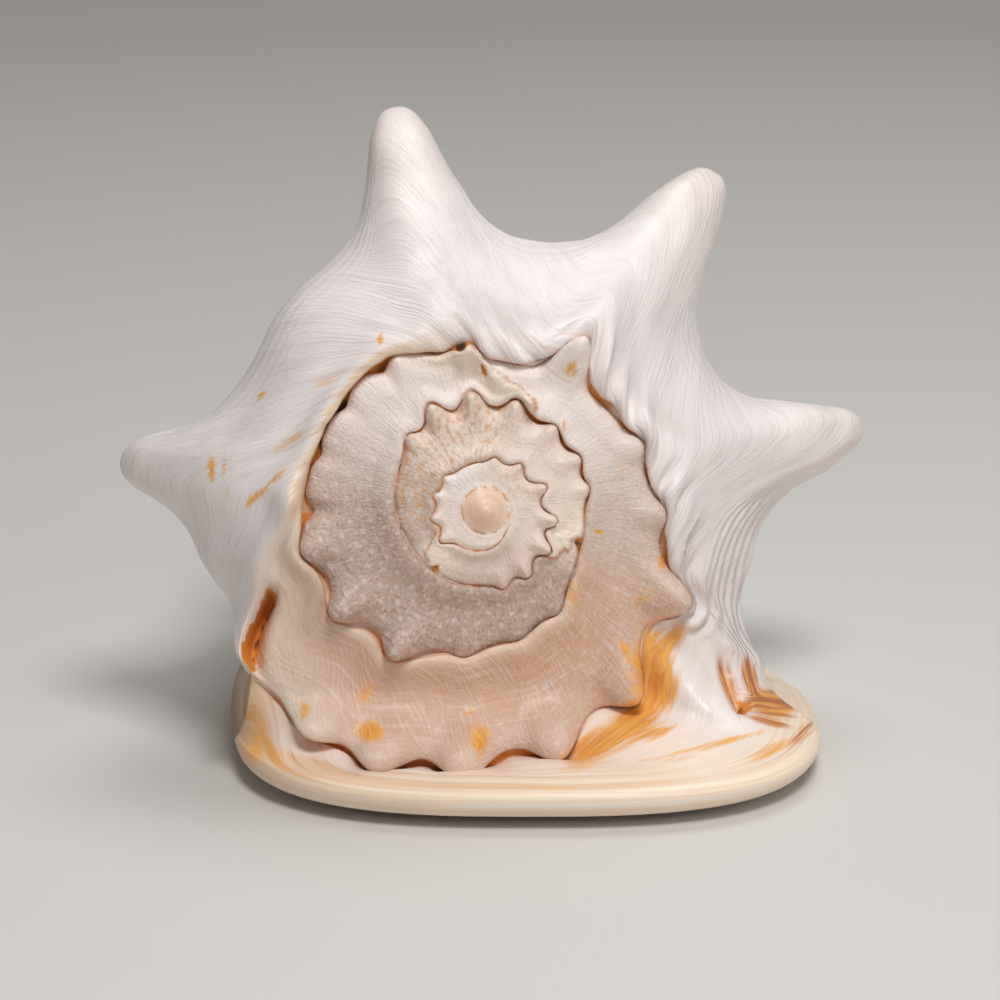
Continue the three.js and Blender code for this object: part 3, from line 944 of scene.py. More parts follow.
@dataclass(frozen=True)
class Markings:
    """Where the shell is tinted, stained or pitted, and where its outer lip has bars and ribs."""

    spots: tuple[Spot, ...] = (
        # The last whorl, from left to right.
        Spot(-43.3, -47.5, 0.9, 2.2, 0.9), Spot(-27.7, -53.0, 3.2, 2.2, 1.0),
        Spot(-29.0, -44.0, 1.5, 2.8, 0.7, -15), Spot(-1.4, -55.4, 1.9, 3.4, 1.0),
        Spot(-3.8, -49.2, 2.2, 1.0, 0.7), Spot(11.9, -45.6, 2.6, 1.1, 0.5),
        Spot(33.4, -33.8, 1.0, 2.4, 0.9, 15), Spot(20.4, -20.0, 1.8, 4.4, 0.5, 10),
        Spot(37.6, -21.0, 4.5, 1.6, 0.45, 20), Spot(42.6, -12.6, 0.8, 2.4, 0.9),
        Spot(26.9, -5.2, 1.3, 0.6, 0.9), Spot(33.0, 10.0, 0.6, 2.0, 0.4),
        Spot(18.6, 19.9, 0.5, 1.5, 0.8), Spot(20.4, 33.6, 1.4, 2.2, 0.8),
        # The body whorl left of the spire.
        Spot(-64.6, 10.0, 0.8, 3.2, 0.95), Spot(-61.6, 11.0, 0.6, 2.6, 0.8),
        Spot(-61.0, 5.0, 0.7, 2.2, 0.5), Spot(-53.3, 27.2, 1.3, 0.7, 0.9, 35),
        Spot(-53.6, 3.4, 4.2, 0.8, 0.85, 42), Spot(-49.0, 7.6, 3.4, 0.7, 0.75, 38),
        Spot(-46.0, 16.0, 5.0, 1.5, 0.5, 32), Spot(-37.0, 30.2, 3.6, 1.0, 0.52, 12),
        Spot(-24.6, 40.0, 0.8, 1.4, 1.0),
        # The patch that runs down from the outer lip.
        Spot(44.5, -32.5, 2.6, 6.0, 0.85, -42), Spot(40.6, -38.0, 5.0, 9.0, 1.0),
        Spot(42.4, -43.5, 4.0, 6.5, 1.0, -15), Spot(37.0, -50.0, 10.5, 4.0, 1.0, 42),
        Spot(29.0, -55.8, 10.0, 3.0, 0.95, 27), Spot(38.5, -54.5, 8.0, 1.3, 0.8, 12),
        # Streaks on the shield.
        Spot(24.0, -58.0, 7.0, 1.0, 0.6, 12), Spot(56.0, -56.2, 14.0, 0.6, 0.7, 12),
        Spot(44.0, -59.5, 9.0, 0.5, 0.5, 4), Spot(-56.0, -57.0, 3.5, 8.0, 0.5, -35),
        Spot(69.0, -57.5, 7.0, 1.1, 0.7, 20),
    )
    bars: tuple[Spot, ...] = (
        Spot(59.9, -43.4, 2.1, 6.2, 1.1, 18), Spot(65.4, -42.0, 1.8, 5.4, 1.1, 10),
        Spot(70.2, -47.7, 6.2, 3.0, 1.2, -8), Spot(68.6, -51.6, 5.2, 0.9, 1.0, -14),
        Spot(78.0, -44.5, 5.0, 1.7, 0.8, -35), Spot(81.5, -49.6, 1.7, 4.8, 0.8, 10),
        Spot(77.0, -54.2, 5.0, 1.3, 0.7, 35),
    )
    # Pits are dents with rust round them and painted shade in their middles.
    pits: tuple[Spot, ...] = (Spot(-0.6, 32.6, 0.6, 1.8, 0.8, 20), Spot(63.2, -47.6, 1.6, 1.1, 3.5, 30))
    spire_pits: Span = (0.3, 1.0)
    front_pits: Span = (0.9, 2.8)

    # Bars along the turned-back edge of the outer lip, by place along the shell.
    lip_bar_every: float = 17.0
    lip_bar_first: float = -8.0
    lip_bar_half: float = 3.4
    lip_bar_soft: float = 0.6
    lip_bar_start: float = -20.0
    lip_bar_end: Span = (70.0, 90.0)
    lip_bar_at: float = 0.78
    lip_bar_reach: float = 0.2

    # Tints of the spire, by growth.
    dashed: tuple[Sector, ...] = (
        Sector(-480, -330, 30), Sector(-720, -640, 25, 0.5), Sector(100, 215, 20, 0.35),
    )
    dusky: tuple[Sector, ...] = (
        Sector(-250, 0, 25, fade=100), Sector(-485, -410, 12, 0.65), Sector(-600, -480, 40, 0.4),
        Sector(35, 190, 50, 0.5),
    )
    bleached: tuple[Sector, ...] = (Sector(-100, 100, 75), Sector(-800, -725, 15))
    beige_from: Span = (95.0, 140.0)
    beige_loss: float = 0.5
    beige_loss_from: float = 0.55

    # Tints and ribs of the last turn's front, by growth and by distance from an edge.
    seam_shade: float = 0.22
    seam_width: float = 0.018
    old_seam: Sector = Sector(256, 340, 14, 0.1)
    lip_strip: Sector = Sector(258, 345, 14, 0.4)
    lip_strip_at: float = 0.05
    lip_strip_width: float = 0.035
    neck_ribs: Sector = Sector(440, 486, 12)
    neck_rib_reach: Span = (9.0, 13.0)
    edge_ribs: float = 0.2
    edge_rib_reach: float = 8.0
    neck: Sector = Sector(474, 512, 16)
    neck_from: Span = (9.0, 20.0)
    trough: Sector = Sector(545, 594, 14, 0.75)
    trough_until: Span = (0.3, 0.5)
    warm_end: Span = (548.0, 588.0)
    warm_back: float = 0.7
    warm_back_until: Span = (12.0, 50.0)

    # Wear of the underside, and painted shade inside the slit.
    worn_height: Span = (1.5, 4.5)
    worn_reach: Span = (8.0, 20.0)
    slit_painted_shade: float = 0.9

    @staticmethod
    def shade(spots: tuple[Spot, ...], right: Array, up: Array) -> Array:
        """Depth of colour that a set of spots gives."""
        return np.max([spot.shade(right, up) for spot in spots], axis=0)

    @staticmethod
    def tint(sectors: tuple[Sector, ...], angle: Array) -> Array:
        """Strength of a tint that covers several stretches of growth."""
        return sum(sector(angle) for sector in sectors)

    def beige(self, angle: Array, share: Array) -> Array:
        """Strength of the beige on the later spire whorls, less on their shoulders."""
        shoulder = self.beige_loss * smoothstep(share, self.beige_loss_from, 1)
        return smoothstep(angle, *self.beige_from) * (1 - shoulder)

    def seam(self, angle: Array, share: Array) -> Array:
        """Rusty line on the body whorl's inner lip."""
        return (self.seam_shade + self.old_seam(angle)) * bell(share, self.seam_width)

    def strip(self, angle: Array, share: Array) -> Array:
        """Orange strip beside that line."""
        return self.lip_strip(angle) * bell(share - self.lip_strip_at, self.lip_strip_width)

    def ribs(self, edge: Array, bare: Array) -> Array:
        """Faint ribs along the outline, where it is bare of callus and horns."""
        return self.edge_ribs * bell(edge, self.edge_rib_reach) * bare

    def lip_ribs(self, angle: Array, edge: Array) -> Array:
        """Strong ribs on the neck of the outer lip."""
        return self.neck_ribs(angle) * (1 - smoothstep(edge, *self.neck_rib_reach))

    def paled(self, angle: Array, share: Array, rim: Array) -> Array:
        """White on the neck of the outer lip and in the trough at the shield's left end."""
        trough = self.trough(angle) * (1 - smoothstep(share, *self.trough_until))
        return self.neck(angle) * smoothstep(rim, *self.neck_from) + trough

    def bar_streaks(self, right: Array, up: Array) -> Array:
        """Place across the nearest bar, which its streaks follow."""
        nearest = np.argmax([bar.shade(right, up) for bar in self.bars], axis=0)
        return np.choose(nearest, [bar.aside(right, up) for bar in self.bars])

    def lip_bars(self, lip: Array, y: Array) -> Array:
        """Bars along the turned-back edge of the outer lip.

        Args:
            lip: Share of the way down the lip.
            y: Place along the shell.

        Returns:
            0 for none to 1 for full colour.
        """
        half_step = self.lip_bar_every / 2
        step = np.abs((y - self.lip_bar_first + half_step) % self.lip_bar_every - half_step)
        bars = 1 - smoothstep(step, self.lip_bar_half * self.lip_bar_soft, self.lip_bar_half)
        ends = (y > self.lip_bar_start) * (1 - smoothstep(y, *self.lip_bar_end))
        return bars * ends * bell(lip - self.lip_bar_at, self.lip_bar_reach)


@dataclass(frozen=True)
class SeamStain:
    """Rusty colour along the edges of the spire whorls and under their old lips."""

    depth: float = 0.2
    inner_width: float = 0.04
    inner_from: Span = (-640.0, -560.0)
    outer_width: float = 0.03
    speck_width: float = 0.06
    speck_step: float = 9.0
    speck_row: float = 4.5
    speck_range: Span = (0.1, 0.5)
    speck_until: Span = (-640.0, -600.0)
    lip_depths: Span = (1.9, 1.1)
    lip_after: float = 2.0
    lip_width: float = 1.7
    lip_from: float = 0.1

    def shade(self, whorls: Whorls, angle: Array, share: Array) -> Array:
        """Depth of the stain.

        Args:
            whorls: The whorls with their old lips.
            angle: Growth angle.
            share: Share of the way from the seam to the shoulder.

        Returns:
            0 for none to 1 for the deepest crevice.
        """
        edge = bell(share, self.inner_width) * smoothstep(angle, *self.inner_from)
        edge = edge + bell(1 - share, self.outer_width)
        noise = whorls.sutures.noise(angle / self.speck_step, self.speck_row)
        specks = smoothstep(noise, *self.speck_range) * (1 - smoothstep(angle, *self.speck_until))
        edge = edge + specks * bell(share, self.speck_width)
        for varix in whorls.varices[:-1]:
            under = bell(varix.past(angle, share) - self.lip_after, self.lip_width)
            edge = edge + lerp(*self.lip_depths, share) * under * smoothstep(share, 0, self.lip_from)
        return self.depth * edge


@dataclass(frozen=True)
class Cream:
    """Creamy bands before the old lips, and along the seams of the last turns."""

    lip_strengths: tuple[float, ...] = (0.5, 0.75, 0.85, 0.45)
    before: Span = (-40.0, -8.0)
    after: Span = (0.5, 2.0)
    body_lip: Sector = Sector(250, 352, 20, fade=12)
    width: float = 0.07
    seam: float = 0.75
    seam_from: Span = (100.0, 150.0)

    def front(self, whorls: Whorls, angle: Array, share: Array) -> Array:
        """Cream on the old lips and along the body whorl's inner lip.

        Args:
            whorls: The whorls with their old lips.
            angle: Growth angle.
            share: Share across the whorl.

        Returns:
            0 for none to 1 for full cream.
        """
        cream = self.body_lip(angle) * bell(share, self.width)
        for varix, strength in zip(whorls.varices, self.lip_strengths):
            past = varix.past(angle, share)
            cream = cream + strength * smoothstep(past, *self.before) * (1 - smoothstep(past, *self.after))
        return np.clip(cream, 0, 1)

    def spire(self, whorls: Whorls, angle: Array, share: Array) -> Array:
        """Cream on the old lips and along the later seams, with the same arguments and result."""
        seam = self.seam * bell(share, self.width) * smoothstep(angle, *self.seam_from)
        return np.clip(seam + self.front(whorls, angle, share), 0, 1)


@dataclass
class HelmetShell:
    """The whole shell, grown as one skin."""

    whorls: Whorls = field(default_factory=Whorls)
    back: Back = field(default_factory=Back)
    markings: Markings = field(default_factory=Markings)
    seam_stain: SeamStain = field(default_factory=SeamStain)
    cream: Cream = field(default_factory=Cream)
    skin: Skin = field(default_factory=Skin)

    # Growth angles where the last turn changes.
    first_angle: float = -960.0
    old_lip: float = 235.0
    old_lip_ends: float = 251.0
    old_lip_bared: Span = (-8.0, -5.0)
    shield_starts: float = 470.0
    shield_tinted: float = 476.0
    shield_blends: float = 480.0
    shield_whole: float = 487.0
    last_angle: float = 595.0
    slant_share: float = 0.4
    slant_whole: float = 258.0
    slant_end: float = 330.0
    low_until: float = 280.0
    bend: Curve = Curve((
        (150, 0), (240, 1), (300, 0.85), (340, 0.75), (400, 0.8), (440, 1), (465, 1.3), (480, 1.2),
        (495, 0.3), (510, 0),
    ))
    bend_share: float = 0.2

    # Columns and rows of the skin; a crowd is an angle, a width and how many more columns it has.
    columns: int = 420
    angle_steps: int = 3600
    horn_crowd: float = 0.9
    horn_crowd_width: float = 9.0
    crowds: tuple[tuple[float, float, float], ...] = ((477, 8, 1.6), (243, 10, 1.0), (592, 6, 1.0))
    surface_rows: int = 20
    surface_ease: float = 0.6
    pocket_rows: int = 5
    front_rows: int = 26
    front_power: float = 1.6
    back_rows: int = 60
    back_power: float = 1.35
    band_share: float = 0.5
    band_power: float = 1.25
    band_fade: float = 50.0
    sewn_share: float = 0.955
    sewn_beyond: float = 0.03

    # Pockets under the toothed edges, each size where the seam is closed and where it is wide open.
    pocket_depth: Span = (0.16, 4.06)
    pocket_under: Span = (0.1, 1.3)
    pocket_edge: Span = (0.14, 0.44)
    pocket_wall: float = 0.6
    # Rust down the pocket rows, with painted shade at the bottom of pockets that gape.
    pocket_rust_and_shade: tuple[float, ...] = (0.35, 0.85, 1.0, 0.85, 0.35)
    tooth_edge: float = 0.25
    lip_edge: float = 0.2
    end_closes: float = 6.0
    end_closed: float = 0.85

    # The dome of the first whorls.
    dome_height: float = 2.8
    dome_step: float = 1.9
    dome_ripple: float = 0.2
    dome_ripple_from: float = 0.3
    dome_groove: float = 0.22
    dome_groove_at: float = 5.7
    dome_groove_width: float = 0.35
    dome_shares: tuple[float, ...] = (0.94, 0.86, 0.77, 0.68, 0.59, 0.5, 0.41, 0.32, 0.23, 0.14, 0.06)

    # The horns, the shield's left end and the canal.
    horn_tip: Span = (0.3, 0.95)
    horn_back: float = 10.5
    horn_back_end: Span = (25.0, 60.0)
    left_end_y: float = -43.0
    rim_gathered: float = 0.9
    rim_gathers: Span = (555.0, 594.0)
    callus_from: Span = (0.05, 0.4)
    canal_rings: Pairs = ((0.93, -0.5), (0.84, 0.2), (0.76, 2.5), (0.66, 6.0), (0.4, 8.5))
    canal_hub: float = 9.0
    # How far the canal sinks before its painted shade is black.
    canal_shade_depth: float = 7.0
    canal_callus: float = 0.6
    canal_across: float = 150.0

    # What growing works out: the columns' angles and lengths, and where the open edge starts.
    angle: Array = field(init=False)
    growth: Array = field(init=False)
    free: int = field(init=False)
    band_end: Array = field(init=False)

    def angles(self) -> Array:
        """Growth angles of all columns, closer together at the horns, the lip and the old lip.

        Returns:
            Rising angles from the first whorl to the shield's left end.
        """
        fine = np.linspace(self.old_lip, self.last_angle, self.angle_steps + 1)
        horns = sum(bell(turn_between(fine, horn.angle), self.horn_crowd_width) for horn in HORNS)
        crowd = 1 + self.horn_crowd * horns
        crowd = crowd + sum(more * bell(fine - at, width) for at, width, more in self.crowds)
        total = np.concatenate([[0], np.cumsum((crowd[1:] + crowd[:-1]) / 2)])
        turn = np.interp(np.arange(self.columns) / self.columns * total[-1], total, fine)
        turns = math.ceil((self.old_lip - self.first_angle) / 360)
        earlier = [turn - 360 * back for back in range(turns, -1, -1)]
        angles = np.concatenate([*earlier, [self.last_angle]])
        return angles[angles >= self.first_angle]

    def slanted(self, angle: Array, share: Array) -> Array:
        """Growth angles that lean with the old lip beside it.

        Args:
            angle: Growth angle of the column.
            share: 0 at the inner seam, 1 on the outline.

        Returns:
            Growth angles at those shares.
        """
        lean = OLD_LIP_PATH(np.maximum(share, self.slant_share)) - OLD_LIP_PATH(self.slant_share)
        stretch = (self.old_lip, self.slant_whole, self.slant_end)
        return angle + lean * np.interp(angle, stretch, (0, 1, 0))

    def front(self, angle: Array, share: Array) -> Array:
        """A point of the last turn's front: body whorl, outer lip or shield.

        Args:
            angle: Growth angle.
            share: 0 at the inner seam, 1 on the outline.

        Returns:
            Points in the growth frame.
        """
        angle, share = np.broadcast_arrays(angle, share)
        angle = self.slanted(angle, share)
        weight = smoothstep(angle, self.shield_blends, self.shield_whole)[..., None]
        newer = smoothstep(angle, self.old_lip, self.old_lip_ends)[..., None]
        older = self.whorls.whorl(angle, share / self.sewn_share)
        body = lerp(older, self.whorls.body(angle, share), newer)
        return lerp(body, self.back.shield.top(self.whorls, angle, share), weight)

    def pocket(self, tooth: Array, lip: Array) -> Array:
        """Rows down from a toothed edge, under it, and up to the next turn's lip.

        Args:
            tooth: Points of the toothed edge.
            lip: Points of the next turn's lip.

        Returns:
            One row of points for each pocket row, in the second place.
        """
        angle = self.angle[:self.free, None]
        seam = angle + 360
        sutures = self.whorls.sutures
        closing = self.end_closed * smoothstep(seam, self.last_angle - self.end_closes, self.last_angle)
        size = self.whorls.scale(sutures.tooth(seam) - sutures.lip(angle)) * (1 - closing)
        opened = sutures.openness(seam)
        depth = size * lerp(*self.pocket_depth, opened)
        under = size * lerp(*self.pocket_under, opened)
        edge = size * lerp(*self.pocket_edge, opened)
        outward = self.whorls.spire.outward()
        radial = self.whorls.spire.radial(seam[:, 0])
        wall = outward * depth * self.pocket_wall
        return np.stack([
            tooth + radial * self.tooth_edge * edge - outward * edge,
            tooth - radial * under - wall,
            (tooth + lip) / 2 - outward * depth,
            lip + radial * under - wall,
            lip - radial * self.lip_edge * edge - outward * edge,
        ], axis=1)

    def grow(self) -> None:
        """Grows the whole skin, from the apex to the canal."""
        self.angle = self.angles()
        self.free = len(self.angle) - self.columns
        self.growth = self.growth_length()
        band = self.grow_band()
        self.grow_dome(band)
        self.grow_body(band)

    def growth_length(self) -> Array:
        """Length grown along the middle of the band.

        Returns:
            Lengths at the columns, from the first.
        """
        sutures, angle = self.whorls.sutures, self.angle
        outer = np.where(angle < self.old_lip, sutures.base(angle + 360), self.whorls.shoulder(angle))
        radius = (sutures.base(angle) + outer) / 2
        return np.concatenate([[0], np.cumsum(np.radians(np.diff(angle)) * radius[1:])])

    def band_shares(self, surface: Array) -> Array:
        """Shares of the band's rows across the last turn.

        Args:
            surface: Shares of a spire whorl's rows.

        Returns:
            Shares by column and row: a whorl's at the old lip, then the inner half of the body's.
        """
        rows = self.surface_rows + self.pocket_rows + 1
        beyond = self.sewn_beyond * np.arange(1, self.pocket_rows + 2) / (self.pocket_rows + 1)
        near = np.concatenate([surface * self.sewn_share, self.sewn_share + beyond])
        far = self.band_share * np.linspace(0, 1, rows) ** self.band_power
        newer = smoothstep(self.angle[self.free:, None], self.old_lip, self.old_lip + self.band_fade)
        return lerp(near[None], far[None], newer)

    def grow_band(self) -> Array:
        """The spiral band with its pockets, sewn turn to turn.

        Returns:
            Numbers of the band's points, by column and row.
        """
        free, rows = self.free, self.surface_rows + self.pocket_rows
        even = np.linspace(0, 1, self.surface_rows)
        surface = lerp(even, smoothstep(even, 0, 1), self.surface_ease)
        old, new = self.angle[:free, None], self.angle[free:, None]
        shares = self.band_shares(surface)
        self.band_end = shares[:, -1]

        spire = self.whorls.whorl(old, surface[None])
        body = self.front(new, shares)
        sewn = slice(self.columns, self.columns + free)
        pocket = self.pocket(spire[:, -1], np.concatenate([spire[:, 0], body[:, 0]])[sewn])

        numbers = np.zeros((len(self.angle), rows + 1), int)
        traits = self.spire_traits(old, surface[None], spire)
        numbers[:free, :self.surface_rows] = self.skin.add(spire, traits)
        numbers[:free, self.surface_rows:rows] = self.skin.add(pocket, self.pocket_traits(old))
        numbers[free:] = self.skin.add(body, self.front_traits(new, shares, body))
        numbers[:free, rows] = numbers[sewn, 0]
        numbers[0] = numbers[self.columns, 0]
        self.skin.quads(numbers[:-1, :-1], numbers[1:, :-1], numbers[1:, 1:], numbers[:-1, 1:])
        return numbers

    def spire_traits(self, angle: Array, share: Array, places: Array) -> dict[Trait, Array]:
        """What the spire whorls remember.

        Args:
            angle: Growth angles of the spire's columns.
            share: Shares across the whorl.
            places: Their points.

        Returns:
            Traits by column and row.
        """
        whorls, marks = self.whorls, self.markings
        inner, outer = whorls.sutures.lip(angle), whorls.sutures.tooth(angle + 360)
        right, up = whorls.spire.plane(places)
        # Pits: rust round them, painted shade in their middles.
        pits = smoothstep(marks.shade(marks.pits, right, up), *marks.spire_pits)
        return {
            Trait.GROWTH: self.bent_growth(angle, share),
            Trait.ACROSS: self.wound(angle, inner, outer, share),
            Trait.RADIUS: lerp(inner, outer, share),
            Trait.RIM: FAR,
            Trait.SPIRE: 1.0,
            Trait.RUST_AND_SHADE: np.maximum(self.seam_stain.shade(whorls, angle, share), pits),
            Trait.CREAM: self.cream.spire(whorls, angle, share),
            Trait.STAIN: marks.shade(marks.spots, right, up),
            Trait.DASH: marks.tint(marks.dashed, angle),
            Trait.TAUPE: marks.tint(marks.dusky, angle),
            Trait.PALE: marks.tint(marks.bleached, angle),
            Trait.BEIGE: marks.beige(angle, share),
        }

    def pocket_traits(self, angle: Array) -> dict[Trait, Array]:
        """What the pockets under the toothed edges of these columns remember."""
        sutures = self.whorls.sutures
        return {
            Trait.GROWTH: self.growth_at(angle),
            Trait.RADIUS: sutures.tooth(angle + 360),
            Trait.RIM: FAR,
            Trait.SPIRE: 1.0,
            # Rust in the pocket, turning to painted shade where the seam gapes and in its holes.
            Trait.RUST_AND_SHADE: np.array(self.pocket_rust_and_shade) * sutures.shade(angle + 360),
        }

    def wound(self, angle: Array, inner: Array, outer: Array, share: Array) -> Array:
        """Distance from the seam, or on the first turn the distance that winds on from the dome."""
        dome = lerp(inner, outer, share) - angle / 360 * self.dome_step
        return lerp(dome, (outer - inner) * share, self.whorls.lipped(angle))

    def front_traits(self, angle: Array, share: Array, places: Array) -> dict[Trait, Array]:
        """What the last turn's front remembers.

        Args:
            angle: Growth angles.
            share: Shares from the seam to the outline.
            places: Their points.

        Returns:
            Traits in the shape of the points.
        """
        whorls, marks = self.whorls, self.markings
        angle = self.slanted(angle, share)
        inner, outer = whorls.sutures.lip(angle), whorls.outline(angle)
        across, edge = (outer - inner) * share, (outer - inner) * (1 - share)
        rim = np.linalg.norm(self.back.shield.rim(angle) - places, axis=-1)
        rim = rim * (1 - self.rim_gathered * smoothstep(angle, *self.rim_gathers))
        on_shield = smoothstep(angle, self.shield_tinted, self.shield_whole)
        horn = self.horn_share(angle, share)
        right, up = whorls.spire.plane(places)
        old_lip = whorls.varices[-1]
        pits = smoothstep(marks.shade(marks.pits, right, up), *marks.front_pits)
        # Rust in the slot and round the pits, with painted shade where they go deepest.
        hollows = np.maximum(old_lip.slot_rust_and_shade(angle, share), pits)
        return {
            Trait.GROWTH: self.bent_growth(angle, share),
            Trait.ACROSS: across,
            Trait.EDGE: edge,
            Trait.RADIUS: lerp(inner, outer, share),
            Trait.RIM: rim,
            Trait.SPIRE: 1 - smoothstep(old_lip.past(angle, share), *self.old_lip_bared),
            Trait.SHIELD: on_shield,
            Trait.HORN: horn,
            Trait.RIBS: marks.lip_ribs(angle, edge) + marks.ribs(edge, (1 - on_shield) * (1 - horn)),
            Trait.RUST_AND_SHADE: np.maximum(marks.seam(angle, share), hollows),
            Trait.CREAM: self.cream.front(whorls, angle, share),
            Trait.STAIN: np.maximum(marks.strip(angle, share), marks.shade(marks.spots, right, up)),
            Trait.BARS: marks.shade(marks.bars, right, up),
            Trait.STREAK: marks.bar_streaks(right, up),
            Trait.WARM: smoothstep(angle, *marks.warm_end),
            Trait.PALE: marks.paled(angle, share, rim),
            Trait.BEIGE: 1.0,
        }

    def bent_growth(self, angle: Array, share: Array) -> Array:
        """Growth length along lines that lean back from the seam like the old lip."""
        slant = (OLD_LIP_PATH(share) - OLD_LIP_PATH(self.bend_share)) * self.bend(angle)
        return self.growth_at(angle) - np.radians(slant) * self.whorls.shoulder(angle)

    def growth_at(self, angle: Array) -> Array:
        """Growth length at a growth angle."""
        return np.interp(angle, self.angle, self.growth)

    def horn_share(self, angle: Array, share: Array) -> Array:
        """How near a point is to a horn's tip."""
        tallest = max(horn.height for horn in HORNS)
        return smoothstep(self.whorls.horns(angle, HornPart.HEIGHT) / tallest * share, *self.horn_tip)

    def grow_dome(self, band: Array) -> None:
        """The glossy dome of the first whorls.

        Args:
            band: Numbers of the band's points.
        """
        spire = self.whorls.spire
        turn = self.angle[1:self.columns + 1]
        foot_radius = self.whorls.sutures.lip(turn)
        foot = spire.face(turn, foot_radius)
        ring = band[1:self.columns + 1, 0]
        for share in self.dome_shares:
            radius = foot_radius * share
            wound = radius - turn / 360 * self.dome_step
            ripple = self.dome_ripple * np.cos(2 * np.pi * wound / self.dome_step)
            ripple = ripple * smoothstep(share, 0, self.dome_ripple_from)
            groove = self.dome_groove * bell(radius - self.dome_groove_at, self.dome_groove_width)
            out = lerp(self.dome_height, foot, smoothstep(share, 0, 1)) + ripple - groove
            inner = self.skin.add(spire.point(turn, radius, out), {
                Trait.ACROSS: wound, Trait.AROUND: turn, Trait.RADIUS: radius,
                Trait.RIM: FAR, Trait.SPIRE: 1.0,
            })
            self.skin.quads(inner, ring, np.roll(ring, 1), np.roll(inner, 1))
            ring = inner
        top = spire.point(np.zeros(1), 0.0, self.dome_height)
        hub = self.skin.add(top, {Trait.RIM: FAR, Trait.SPIRE: 1.0})
        self.skin.fan(hub[0], ring[::-1])

    def section(self, angle: Array, end: Array, y: Array) -> Array:
        """A point behind the outline, on the cross-section at y.

        Args:
            angle: Growth angle of each column.
            end: Share down the shield's left end, or -1 on the other columns.
            y: Place along the shell.

        Returns:
            Points in the growth frame.
        """
        back, shield = self.back, self.back.shield
        low = 1 - smoothstep(angle, self.old_lip, self.low_until)
        arch = back.arch(angle - (self.old_lip - back.flange_left) * low, y)
        lip = np.clip((angle - self.shield_starts) / (shield.first_angle - self.shield_starts), 0, 1)
        column = (shield.rim(angle)[..., 0] - shield.centre[0]) / shield.half[0] / 2 + 0.5
        result = np.where((angle <= self.shield_starts)[..., None], arch, back.flange(1, lip, y))
        result = np.where((angle > shield.first_angle)[..., None], back.under_column(column, y), result)
        return np.where((end >= 0)[..., None], back.flange(-1, np.maximum(end, 0), y), result)

    def grow_body(self, band: Array) -> None:
        """The last turn from the band's edge to the outline, and on over the back to the canal.

        Args:
            band: Numbers of the band's points.
        """
        rows = band.shape[1]
        around = self.angle[self.free:-1][::-1]
        ring = np.concatenate([band[-1], band[self.free:-1, -1][::-1]])
        columns = np.concatenate([np.full(rows, self.last_angle), around])
        end = np.concatenate([np.linspace(0, 1, rows) ** self.band_power, np.full(len(around), -1.0)])
        start = np.concatenate([np.full(rows, self.band_end[-1]), self.band_end[:-1][::-1]])
        ends = end >= 0
        left_start = self.back.shield.top(self.whorls, columns, np.maximum(end, 0) * start)
        left_end = self.section(columns, end, np.full(len(columns), self.left_end_y))

        for n in range(1, self.front_rows + 1):
            outward = 1 - (1 - n / self.front_rows) ** self.front_power
            share = lerp(start, 1.0, outward)
            left = lerp(left_start, left_end, outward)
            places = np.where(ends[:, None], left, self.front(columns, share))
            traits = self.front_traits(columns, share, places)
            traits[Trait.RUST_AND_SHADE] = np.where(ends, 0, traits[Trait.RUST_AND_SHADE])
            traits[Trait.SHIELD] = np.where(ends, 1, traits[Trait.SHIELD])
            ring = self.sew(ring, self.skin.add(places, traits))
        self.grow_back(ring, places, self.slanted(columns, np.ones(len(columns))), end)

    def sew(self, ring: Array, outer: Array) -> Array:
        """Joins a closed ring of points to the next one."""
        self.skin.quads(np.roll(ring, -1), ring, outer, np.roll(outer, -1))
        return outer

    def grow_back(self, ring: Array, outline: Array, columns: Array, end: Array) -> None:
        """The back, the underside and the canal's end.

        Args:
            ring: Numbers of the outline's points.
            outline: The outline's points.
            columns: Growth angle of each column.
            end: Share down the shield's left end, or -1.
        """
        front_y = outline[:, 1]
        offset = outline - self.section(columns, end, front_y)
        for n in range(1, self.back_rows + 1):
            y = lerp(front_y, self.back.tail_y, (n / self.back_rows) ** self.back_power)
            behind = y - front_y
            left = Horn.share(behind, self.horn_back) * (1 - smoothstep(behind, *self.horn_back_end))
            places = self.section(columns, end, y) + offset * left[:, None]
            traits = self.back_traits(columns, end, places, behind, left)
            ring = self.sew(ring, self.skin.add(places, traits))
        self.close_canal(ring, places, self.bent_growth(columns, np.ones(len(columns))))

